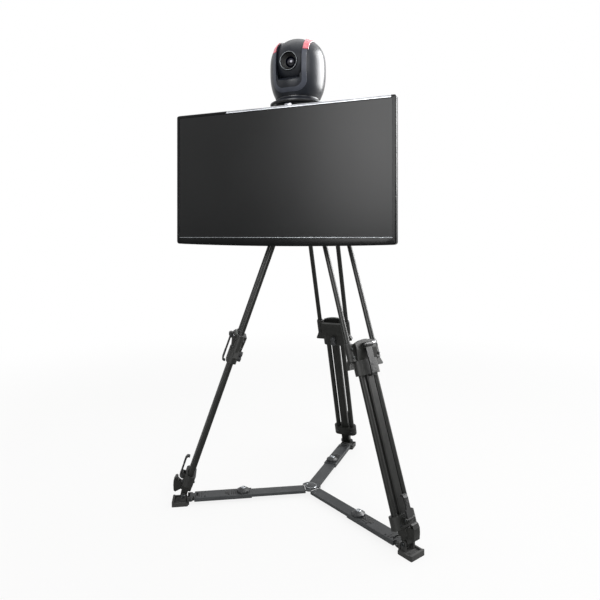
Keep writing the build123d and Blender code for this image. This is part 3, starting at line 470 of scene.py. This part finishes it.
def bezelOutline(low, high):
    # points of the outer edge with the way out at each: bowed foot, two sides, straight top
    foot, corner = low.z + bezel["bow"], bezel["corner"]
    middle, half = (low.x + high.x) / 2, (high.x - low.x) / 2
    points = []
    for step in range(1, bezel["bowSteps"]):
        across = -1 + 2 * step / bezel["bowSteps"]
        points.append((middle + half * across, foot - bezel["bow"] * (1 - across ** 2), 0, -1))
    centres = [(high.x - corner, foot + corner, -90), (high.x - corner, high.z - corner, 0),
               (low.x + corner, high.z - corner, 90), (low.x + corner, foot + corner, 180)]
    for x, z, start in centres:
        for step in range(bezel["cornerSteps"] + 1):
            turn = radians(start + 90 * step / bezel["cornerSteps"])
            points.append((x + corner * cos(turn), z + corner * sin(turn), cos(turn), sin(turn)))
        if start == 0:
            points += [(high.x - bezel["reflectionTo"], high.z, 0, 1),
                       (low.x + bezel["reflectionFrom"], high.z, 0, 1)]
    return points


def makeBezel():
    low, high = boxMm("front_bezel")
    panelFront = boxMm("display_panel")[0].y
    outline = bezelOutline(low, high)
    left, right = low.x + bezel["side"], high.x - bezel["side"]
    foot, top = low.z + bezel["bow"] + bezel["bottom"], high.z - bezel["side"]

    def outer(inset, depth):
        # towards the top edge the round grows from the small radius to the wide one
        places = []
        for x, z, sideways, upward in outline:
            grown = 1 + (bezel["topRound"] / bezel["round"] - 1) * max(0, upward) ** 3
            places.append((x - sideways * inset, low.y + depth * grown, z - upward * inset * grown))
        return places

    def outerAt(inset, y):
        return [(x, y, z) for x, _, z in outer(inset, 0)]

    def window(grow, depth):
        return [(min(max(x, left - grow), right + grow), low.y + depth,
                 min(max(z, foot - grow), top + grow)) for x, z, _, _ in outline]

    rings = [outerAt(bezel["wallInset"], panelFront + bezel["panelGap"]),
             outerAt(bezel["wallInset"], high.y), outerAt(0, high.y)]
    for step in range(bezel["roundSteps"] + 1):
        turn = radians(90 * step / bezel["roundSteps"])
        rings.append(outer(bezel["round"] * (1 - cos(turn)), bezel["round"] * (1 - sin(turn))))
    for step in range(bezel["lipSteps"] + 1):
        turn = radians(90 * step / bezel["lipSteps"])
        rings.append(window(bezel["lipRound"] * (1 - sin(turn)), bezel["lipRound"] * (1 - cos(turn))))
    rings.append(window(0, panelFront - low.y + bezel["panelLap"]))

    bm = bmesh.new()
    loops = [[bm.verts.new(place) for place in ring] for ring in rings]
    for first, second in zip(loops, loops[1:] + loops[:1]):
        for i in range(len(first)):
            j = (i + 1) % len(first)
            bm.faces.new((first[i], first[j], second[j], second[i]))
    piece = finishPiece(bm, "bezel_moulding", standFrame, "display", bezelGloss, bezel["sharpAngle"])
    # painted reflection: the top round between the two ends takes the bright metal, the rest stays black
    # gloss
    piece.data.materials.append(bezelReflectionMetal)
    for polygon in piece.data.polygons:
        x, y, z = polygon.center / mm
        along = low.x + bezel["reflectionFrom"] < x < high.x - bezel["reflectionTo"]
        if along and z > high.z - bezel["topRound"] and y < low.y + bezel["topRound"]:
            polygon.material_index = 1
    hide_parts("front_bezel")


# A thin satin strip along the foot of the screen
strip = {"lap": 0.2, "tall": 1.6, "front": 0.2, "back": 1.1, "edge": 0.3}


def makeScreenStrip():
    low, high = boxMm("front_bezel")
    foot = low.z + bezel["bow"] + bezel["bottom"]
    bm = bmesh.new()
    bevelled(bm, (low.x + bezel["side"], low.y + strip["front"], foot - strip["lap"]),
             (high.x - bezel["side"], low.y + strip["back"], foot + strip["tall"]), strip["edge"])
    finishPiece(bm, "screen_foot_strip", standFrame, "display", hubMetal)


# Rear cover: screws round its edge, and two rows of louvre bars over the upper vents
rearTrim = {
    "behindBezel": 8.0, "inset": 16.0, "screwRadius": 3.4, "screwTall": 1.6, "screwSink": 0.1,
    "louvreDrops": (34.0, 52.0), "bars": 26, "pitch": 9.0, "wide": 5.0, "tall": 12.0,
    "barSink": 0.3, "proud": 1.0, "barEdge": 0.45,
}


def makeRearTrim():
    p = rearTrim
    low, high = boxMm("rear_cover")
    face = boxMm("front_bezel")[1].y + p["behindBezel"]
    bm = bmesh.new()
    thirds = ((low.x * 2 + high.x) / 3, (low.x + high.x * 2) / 3)
    for x in (low.x + p["inset"], *thirds, high.x - p["inset"]):
        for z in (low.z + p["inset"], high.z - p["inset"]):
            capScrew(bm, (x, face - p["screwSink"], z), (0, 1, 0), p["screwRadius"], p["screwTall"])
    finishPiece(bm, "rear_cover_screws", standFrame, "display", darkSteel)

    bm = bmesh.new()
    middle = (low.x + high.x) / 2
    for drop in p["louvreDrops"]:
        for index in range(p["bars"]):
            x = middle + (index - (p["bars"] - 1) / 2) * p["pitch"]
            z = high.z - drop
            bevelled(bm, (x - p["wide"] / 2, face - p["barSink"], z - p["tall"] / 2),
                     (x + p["wide"] / 2, face + p["proud"], z + p["tall"] / 2), p["barEdge"])
    finishPiece(bm, "rear_louvres", standFrame, "display", coverAbs)


makeBezel()
makeScreenStrip()
makeRearTrim()
print("display ready")


# Lens: stepped barrel and domed glass, turned about the line of sight
lens = {
    "droop": 5.0, "steps": 72, "sharpAngle": 28,
    "barrel": [(0, 53), (30.8, 53), (30.8, 82.8), (30.2, 84.2), (29.6, 84.8), (27.6, 84.7), (26.4, 83.4),
               (25.8, 79.4), (24.2, 79.0), (24.0, 75.6), (22.2, 75.2), (22.0, 71.6), (20.2, 71.2),
               (20.0, 67.4), (17.8, 67.0), (17.6, 58.6), (0, 58.6)],
    "ring": [(29.5, 84.6), (29.4, 85.0), (28.9, 85.2), (28.3, 85.2), (27.8, 85.0), (27.7, 84.6)],
    "glass": {"radius": 17.2, "rim": 66.4, "rise": 6.5, "back": 60.0, "arcSteps": 8},
}


def makeLens():
    droop = radians(lens["droop"])
    sight = (0, -cos(droop), -sin(droop))
    bm = bmesh.new()
    turned(bm, lens["barrel"], tiltAxle, sight, lens["steps"])
    piece = finishPiece(bm, "lens_barrel", standFrame, "camera_tilt", barrelBlack, lens["sharpAngle"])
    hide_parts("lens")
    bm = bmesh.new()
    turned(bm, lens["ring"], tiltAxle, sight, lens["steps"], closed=True)
    finishPiece(bm, "lens_front_ring", standFrame, "camera_tilt", ringSatin)

    bm = bmesh.new()
    dome = lens["glass"]
    ball = arcRadius(dome["radius"], dome["rise"])
    top = dome["rim"] + dome["rise"]
    reach = asin(dome["radius"] / ball)
    swings = [reach * part / dome["arcSteps"] for part in range(dome["arcSteps"] + 1)]
    arc = [(ball * sin(swing), top - ball * (1 - cos(swing))) for swing in swings]
    turned(bm, arc + [(dome["radius"], dome["back"]), (0, dome["back"])], tiltAxle, sight, lens["steps"])
    finishPiece(bm, "lens_glass", standFrame, "camera_tilt", glass)


# Camera base: rubber seat ring, and a bright clip that hooks under the shelf's front edge
seatRing = {
    "profile": [(84.0, 0.4), (84.8, 0), (90.2, 0), (91.0, 0.5), (91.0, 2.0), (84.0, 2.0)], "steps": 72,
}
clip = {
    "side": -8.0, "wide": 24.0, "reach": 9.0, "overlap": 0.5, "tongue": (0.6, 0.4), "tongueEdge": 1.0,
    "drop": 5.0, "lipThick": 2.4, "lipRise": 2.4, "lipEdge": 0.7,
}


def makeBaseTrim():
    bm = bmesh.new()
    centre = (panAxis.x, panAxis.y, boxMm("ptz_base")[0].z)
    turned(bm, seatRing["profile"], centre, (0, 0, 1), seatRing["steps"], closed=True)
    finishPiece(bm, "base_seat_ring", standFrame, "head", sole)
    bm = bmesh.new()
    low, high = boxMm("camera_shelf")
    left, right = (panAxis.x + clip["side"] + way * clip["wide"] / 2 for way in (-1, 1))
    front = low.y - clip["reach"]
    under, over = clip["tongue"]
    bevelled(bm, (left, front, low.z + under),
             (right, low.y + clip["overlap"], high.z - over), clip["tongueEdge"])
    bevelled(bm, (left, front, low.z - clip["drop"]),
             (right, front + clip["lipThick"], low.z + clip["lipRise"]), clip["lipEdge"])
    finishPiece(bm, "shelf_clip", standFrame, "head", brightPlate)


makeLens()
makeBaseTrim()
print("camera ready")


# Leg castings: collars, crest plates, clamp bosses and screws, bright bars as a painted highlight, and lever
# pins
legPieces = {
    "rodAt": 53.0, "blockTop": -532.0, "yokeBottom": -58.0,
    "collar": [(8.2, 0), (11.4, 0), (11.4, 4.2), (10.2, 6.0), (8.2, 6.0)],
    "collarLift": 0.1, "collarSteps": 40,
    "crest": [(11.6, 0.1), (18.2, 0.1), (18.2, 0.9), (17.0, 1.3), (12.8, 1.3), (11.6, 0.9)],   # depth, lift
    "crestHalf": 38.0, "crestRise": 9.0, "crestSpan": 42.0, "crestSteps": 20,
    "boss": [(0, 0), (5.2, 0), (5.2, 3.6), (4.6, 4.2), (0, 4.2)], "bossFace": 9.0,
    "clampDowns": (544.0, 570.0), "screwFace": 13.3, "screwRadius": 3.2, "screwTall": 2.4, "pinSteps": 24,
    "pin": [(0, 0), (4.2, 0), (4.2, 1.0), (3.6, 1.5), (0, 1.5)], "pinFace": 17.35, "leverAt": (29.5, -540.0),
    "bar": ((-41.0, -538.5), (-20.0, -534.8)), "barFaces": (-19.0, 22.0), "barSink": 0.4, "barProud": 1.0,
    "barEdge": 0.4,
    "bracketHalf": 28.0, "bracketScrews": ((17.0, -1036.0), (-17.0, -1030.0)), "bracketScrewTall": 2.2,
    "lowPin": [(0, 0), (4.0, 0), (4.0, 1.0), (3.4, 1.5), (0, 1.5)], "lowLeverAt": (27.0, -1026.0),
}


def makeLegTrim(legName):
    p = legPieces
    place = legFrames[legName]
    upper = f"{legName}_upper_leg"
    sides = (-1, 1)
    clamps = [(side, down, face) for side in sides for down in p["clampDowns"] for face in sides]

    bm = bmesh.new()
    for side in sides:
        for seat, way in ((p["blockTop"], 1), (p["yokeBottom"], -1)):
            centre = (side * p["rodAt"], 0, seat + way * p["collarLift"])
            turned(bm, p["collar"], centre, (0, 0, way), p["collarSteps"], closed=True)
    finishPiece(bm, f"{legName}_rod_collars", place, upper, leverNylon)

    bm = bmesh.new()
    ball = arcRadius(p["crestSpan"], p["crestRise"])
    hubPoint = Vector((0, 0, p["blockTop"] + p["crestRise"] - ball))
    swing = asin(p["crestHalf"] / ball)
    start = Matrix.Rotation(-swing, 4, "Y")
    ring = [bm.verts.new(hubPoint + start @ Vector((0, y, ball + lift))) for y, lift in p["crest"]]
    edges = [bm.edges.new(pair) for pair in zip(ring, ring[1:] + ring[:1])]
    cap = bm.faces.new(ring)
    bmesh.ops.spin(bm, geom=[*ring, *edges, cap], cent=hubPoint, axis=(0, 1, 0), angle=2 * swing,
                   steps=p["crestSteps"])
    finishPiece(bm, f"{legName}_crest_plate", place, upper, crestSatin)

    bm = bmesh.new()
    for side, down, face in clamps:
        seat = (side * p["rodAt"], face * p["bossFace"], -down)
        turned(bm, p["boss"], seat, (0, face, 0), p["pinSteps"])
    finishPiece(bm, f"{legName}_clamp_bosses", place, upper, casting)

    bm = bmesh.new()
    for side, down, face in clamps:
        seat = (side * p["rodAt"], face * p["screwFace"], -down)
        capScrew(bm, seat, (0, face, 0), p["screwRadius"], p["screwTall"])
    for side in sides:
        turned(bm, p["pin"], (side * p["pinFace"], *p["leverAt"]), (side, 0, 0), p["pinSteps"])
    finishPiece(bm, f"{legName}_clamp_screws", place, upper, darkSteel)

    # painted highlight: bright steel bars on the block faces where a highlight falls on the casting
    bm = bmesh.new()
    (left, low), (right, high) = p["bar"]
    for y in p["barFaces"]:
        face = 1 if y > 0 else -1
        near, far = sorted((y - face * p["barSink"], y + face * p["barProud"]))
        bevelled(bm, (left, near, low), (right, far, high), p["barEdge"])
    finishPiece(bm, f"{legName}_block_highlight_bars", place, upper, brightPlate)

    bm = bmesh.new()
    for side in sides:
        for y, z in p["bracketScrews"]:
            capScrew(bm, (side * p["bracketHalf"], y, z), (0, y, 0), p["screwRadius"], p["bracketScrewTall"])
        turned(bm, p["lowPin"], (side * p["pinFace"], *p["lowLeverAt"]), (side, 0, 0), p["pinSteps"])
    finishPiece(bm, f"{legName}_bracket_screws", place, f"{legName}_middle_leg", darkSteel)


# Ribbed thumb pads on the levers
levers = {
    "mid": {"face": 31.5, "half": 8.6, "from": -596.0, "to": -618.0},
    "lower": {"face": 34.0, "half": 6.2, "from": -990.0, "to": -972.0},
}
leverRib = {"count": 6, "halfTall": 0.9, "sink": 0.4, "proud": 1.1, "edge": 0.5}


def makeLeverRibs(legName):
    for kind, pad in levers.items():
        bm = bmesh.new()
        back, front = pad["face"] - leverRib["sink"], pad["face"] + leverRib["proud"]
        for index in range(leverRib["count"]):
            z = pad["from"] + (pad["to"] - pad["from"]) * index / (leverRib["count"] - 1)
            bevelled(bm, (-pad["half"], back, z - leverRib["halfTall"]),
                     (pad["half"], front, z + leverRib["halfTall"]), leverRib["edge"])
        finishPiece(bm, f"{legName}_{kind}_lever_ribs", legFrames[legName], f"{legName}_{kind}_lever",
                    leverNylon)


# Feet and spreader arms, by place outward from the stand's axis and height
floorPieces = {
    "footPivot": (426.6, 30.0), "earFace": 20.6, "bolt": (6.6, 3.4),
    "hingePivot": (401.6, 17.0), "hingeFace": 18.9, "hingeBolt": (4.6, 2.4),
    "toeRibs": 5, "toeFrom": 11.0, "toePitch": 3.6, "toeDeep": 1.8, "toeHalf": 20.0, "toeZ": (7.7, 9.3),
    "toeEdge": 0.5,
    "knobAt": 230.6, "capSteps": 40,
    "cap": [(0, 36.7), (8.6, 36.7), (8.6, 38.0), (7.6, 38.8), (5.4, 38.8), (4.6, 38.0), (2.8, 37.8),
            (2.2, 38.4), (0, 38.6)],
    "knurls": 20, "knurl": ((11.0, -0.8, 31.0975), (17.2, 0.8, 32.0975)), "knurlEdge": 0.35,
    "knurlHinge": (14.0, 0, 32.0), "knurlLean": 30.5,
    "marks": ((254.5, 34.0, 2.6), (261.5, 34.0, 2.6), (268.5, 34.0, 2.6), (276.0, 36.0, 6.0),
              (282.0, 12.0, 9.0), (366.0, 38.0, 2.2), (374.0, 30.0, 3.0), (385.0, 30.0, 2.4)),
    "markZ": (23.6, 24.9), "markEdge": 0.4,   # marks: place outward, width, depth
    "sleeveScrewAt": (15.0, 356.0, 23.9), "sleeveScrew": (3.0, 1.4),
}


def makeFloorTrim(legName):
    p = floorPieces
    place = armFrames[legName]
    bm = bmesh.new()
    for side in (-1, 1):
        capScrew(bm, (side * p["earFace"], *p["footPivot"]), (side, 0, 0), *p["bolt"])
        capScrew(bm, (side * p["hingeFace"], *p["hingePivot"]), (side, 0, 0), *p["hingeBolt"])
    finishPiece(bm, f"{legName}_shoe_bolts", place, f"{legName}_shoe", darkSteel)

    bm = bmesh.new()
    low, high = p["toeZ"]
    for index in range(p["toeRibs"]):
        y = p["footPivot"][0] + p["toeFrom"] + p["toePitch"] * index
        bevelled(bm, (-p["toeHalf"], y, low), (p["toeHalf"], y + p["toeDeep"], high), p["toeEdge"])
    finishPiece(bm, f"{legName}_toe_ribs", place, f"{legName}_shoe", sole)

    # knob: bright dished cap and knurls round its skirt
    bm = bmesh.new()
    turned(bm, p["cap"], (0, p["knobAt"], 0), (0, 0, 1), p["capSteps"])
    finishPiece(bm, f"{legName}_knob_cap", place, f"{legName}_arm_knob", hubMetal)
    bm = bmesh.new()
    lean = Matrix.Rotation(radians(p["knurlLean"]), 3, "Y")
    for index in range(p["knurls"]):
        turn = Matrix.Rotation(2 * pi * (index + 0.5) / p["knurls"], 4, "Z")
        before = set(bm.verts)
        bevelled(bm, *p["knurl"], p["knurlEdge"])
        new = [vert for vert in bm.verts if vert not in before]
        bmesh.ops.rotate(bm, cent=p["knurlHinge"], matrix=lean, verts=new)
        bmesh.ops.transform(bm, matrix=Matrix.Translation((0, p["knobAt"], 0)) @ turn, verts=new)
    finishPiece(bm, f"{legName}_knob_ribs", place, f"{legName}_arm_knob", knobNylon)

    # sleeve: dark ribs beside the knob, a T-shaped stop and an end window
    bm = bmesh.new()
    low, high = p["markZ"]
    for near, wide, deep in p["marks"]:
        bevelled(bm, (-wide / 2, near, low), (wide / 2, near + deep, high), p["markEdge"])
    finishPiece(bm, f"{legName}_sleeve_marks", place, f"{legName}_sleeve", leverNylon)
    bm = bmesh.new()
    across, out, high = p["sleeveScrewAt"]
    for side in (-1, 1):
        capScrew(bm, (side * across, out, high), (0, 0, 1), *p["sleeveScrew"])
    finishPiece(bm, f"{legName}_sleeve_screws", place, f"{legName}_sleeve", darkSteel)


# Leg pivots at the crown
pivots = {"lugFace": 36.4, "radius": 8.2, "tall": 4.4}


def makePivotCaps():
    bm = bmesh.new()
    for legName in legNames:
        before = set(bm.verts)
        for side in (-1, 1):
            capScrew(bm, (side * pivots["lugFace"], 0, 0), (side, 0, 0), pivots["radius"], pivots["tall"])
        new = [vert for vert in bm.verts if vert not in before]
        bmesh.ops.transform(bm, matrix=standFrame.inverted() @ legFrames[legName], verts=new)
    finishPiece(bm, "crown_pivot_caps", standFrame, "crown", plated)


# Hub: light rim round the disc and a low domed face
hub = {
    "rim": [(17.2, 28.3), (19.2, 26.2), (19.9, 26.2), (19.9, 28.4), (19.3, 29.1), (18.0, 29.2), (17.2, 28.8)],
    "rimSteps": 64,
    "face": [(0, 28.3), (13.5, 28.3), (13.5, 28.75), (12.8, 29.1), (0, 29.4)],
    "faceSteps": 56,
}


def makeHubTrim():
    bm = bmesh.new()
    turned(bm, hub["rim"], (0, 0, 0), (0, 0, 1), hub["rimSteps"], closed=True)
    finishPiece(bm, "hub_rim", armFrames["back"], "back_bar", plated)
    bm = bmesh.new()
    turned(bm, hub["face"], (0, 0, 0), (0, 0, 1), hub["faceSteps"])
    finishPiece(bm, "hub_face", armFrames["back"], "back_bar", armCoat)


# Base plate and post: screws and a cable cover on the post's back
headTrim = {
    "plateInset": 18.0, "plateSink": 0.1, "plateScrew": (5.0, 3.2),
    "coverHalf": 15.0, "coverEnd": 16.0, "coverSink": 0.2, "coverProud": 2.2, "coverEdge": 0.9,
    "screwEnd": 26.0, "screwFace": 2.1, "coverScrew": (3.2, 1.8),
}


def makeHeadTrim():
    p = headTrim
    low, high = boxMm("head_base")
    bm = bmesh.new()
    for x in (low.x + p["plateInset"], high.x - p["plateInset"]):
        for y in (low.y + p["plateInset"], high.y - p["plateInset"]):
            capScrew(bm, (x, y, high.z - p["plateSink"]), (0, 0, 1), *p["plateScrew"])
    finishPiece(bm, "base_plate_screws", standFrame, "head", plated)

    low, high = boxMm("head_post")
    middle = (low.x + high.x) / 2
    bm = bmesh.new()
    bevelled(bm, (middle - p["coverHalf"], high.y - p["coverSink"], low.z + p["coverEnd"]),
             (middle + p["coverHalf"], high.y + p["coverProud"], high.z - p["coverEnd"]), p["coverEdge"])
    finishPiece(bm, "post_cover_plate", standFrame, "head", steelPlate)
    bm = bmesh.new()
    for z in (low.z + p["screwEnd"], (low.z + high.z) / 2, high.z - p["screwEnd"]):
        capScrew(bm, (middle, high.y + p["screwFace"], z), (0, 1, 0), *p["coverScrew"])
    finishPiece(bm, "post_cover_screws", standFrame, "head", darkSteel)


for legName in legNames:
    makeLegTrim(legName)
    makeLeverRibs(legName)
    makeFloorTrim(legName)
makePivotCaps()
makeHubTrim()
makeHeadTrim()
print("stand trim ready")


# Studio: pale floor, white surroundings, soft lamps; lengths in metres
studio = {
    "floorHalf": 40.0, "floorBelow": 0.0005, "floorHex": "#f4f4f2", "floorRough": 0.9,
    "floorGlow": 0.86, "fadeFrom": 1.2, "fadeTo": 3.2, "ambient": 0.42, "surroundings": 1.0,
    "aim": (0, 0, 0.9),
    "lamps": {
        "key": {"at": (2.6, -2.2, 2.9), "size": (1.8, 1.8), "power": 48.0},
        "sideWindow": {"at": (2.3, 1.7, 2.3), "size": (2.4, 2.4), "power": 440.0, "glossyOnly": True},
        "fill": {"at": (-2.8, -2.2, 1.8), "size": (2.0, 2.0), "power": 12.0},
        "top": {"at": (0.3, 0.2, 3.3), "size": (2.6, 2.6), "power": 36.0},
        "screenGlare": {"at": (-0.1, -3.7, 1.95), "size": (2.0, 2.0), "power": 150.0, "glossyOnly": True},
    },
}


def makeFloor():
    bm = bmesh.new()
    bmesh.ops.create_grid(bm, x_segments=1, y_segments=1, size=studio["floorHalf"])
    mesh = bpy.data.meshes.new("studio_floor")
    bm.to_mesh(mesh)
    bm.free()
    floor = bpy.data.objects.new("studio_floor", mesh)
    bpy.context.collection.objects.link(floor)
    floor.location.z = -studio["floorBelow"]
    # paper that the lamps light, seen by the camera as fading into white
    material, tree, shader = startMaterial("studio floor paper", studio["floorHex"], studio["floorRough"])
    away = addNode(tree, "ShaderNodeVectorMath", operation="LENGTH")
    tree.links.new(addNode(tree, "ShaderNodeTexCoord").outputs["Object"], away.inputs[0])
    glow = addNode(tree, "ShaderNodeMapRange", {
        "Value": away.outputs["Value"], "From Min": studio["fadeFrom"], "From Max": studio["fadeTo"],
        "To Min": studio["floorGlow"], "To Max": 1.0}, interpolation_type="SMOOTHSTEP")
    cameraRay = addNode(tree, "ShaderNodeLightPath").outputs["Is Camera Ray"]
    seen = mathNode(tree, "MULTIPLY", cameraRay, glow.outputs["Result"])
    white = addNode(tree, "ShaderNodeEmission", {"Strength": 1.0})
    mix = addNode(tree, "ShaderNodeMixShader", {"Fac": seen})
    tree.links.new(shader.outputs["BSDF"], mix.inputs[1])
    tree.links.new(white.outputs["Emission"], mix.inputs[2])
    tree.links.new(mix.outputs["Shader"], tree.nodes["Material Output"].inputs["Surface"])
    mesh.materials.append(material)


def makeSurroundings():
    # white to the camera and in reflections, dimmer as plain light
    world = bpy.data.worlds.new("studio surroundings")
    bpy.context.scene.world = world
    world.use_nodes = True
    tree = world.node_tree
    background = tree.nodes["Background"]
    background.inputs["Color"].default_value = (1, 1, 1, 1)
    paths = addNode(tree, "ShaderNodeLightPath").outputs
    direct = mathNode(tree, "MAXIMUM", paths["Is Camera Ray"], paths["Is Transmission Ray"])
    strength = addNode(tree, "ShaderNodeMapRange", {
        "Value": mathNode(tree, "MAXIMUM", direct, paths["Is Glossy Ray"]),
        "To Min": studio["ambient"], "To Max": studio["surroundings"]})
    tree.links.new(strength.outputs["Result"], background.inputs["Strength"])


def makeLamps():
    target = Vector(studio["aim"])
    for lampName, lampSettings in studio["lamps"].items():
        light = bpy.data.lights.new(lampName, "AREA")
        light.shape = "RECTANGLE"
        light.size, light.size_y = lampSettings["size"]
        light.energy = lampSettings["power"]
        lampObject = bpy.data.objects.new(lampName, light)
        bpy.context.collection.objects.link(lampObject)
        lampObject.location = lampSettings["at"]
        lampObject.visible_diffuse = not lampSettings.get("glossyOnly", False)
        lampObject.rotation_euler = (target - lampObject.location).to_track_quat("-Z", "Y").to_euler()


# Camera at the photograph's place: level, a little below the display's middle
view = {"at": (636.36, -1682.25, 877.9), "azimuth": 21.912, "lens": 31.523, "sensor": 36.0,
        "shiftY": -0.10479, "reach": 90.0}


def makeCamera():
    cameraData = bpy.data.cameras.new("photo view")
    cameraData.lens = view["lens"]
    cameraData.sensor_width = view["sensor"]
    cameraData.shift_y = view["shiftY"]
    cameraData.clip_end = view["reach"]
    camera = bpy.data.objects.new("photo view", cameraData)
    bpy.context.collection.objects.link(camera)
    camera.location = (Vector(view["at"]) + Vector((standAxis.x, standAxis.y, 0))) * mm
    camera.rotation_euler = (radians(90), 0, radians(view["azimuth"]))
    bpy.context.scene.camera = camera


makeFloor()
makeSurroundings()
makeLamps()
makeCamera()
bpy.context.scene.view_settings.view_transform = "Standard"
print("studio ready")
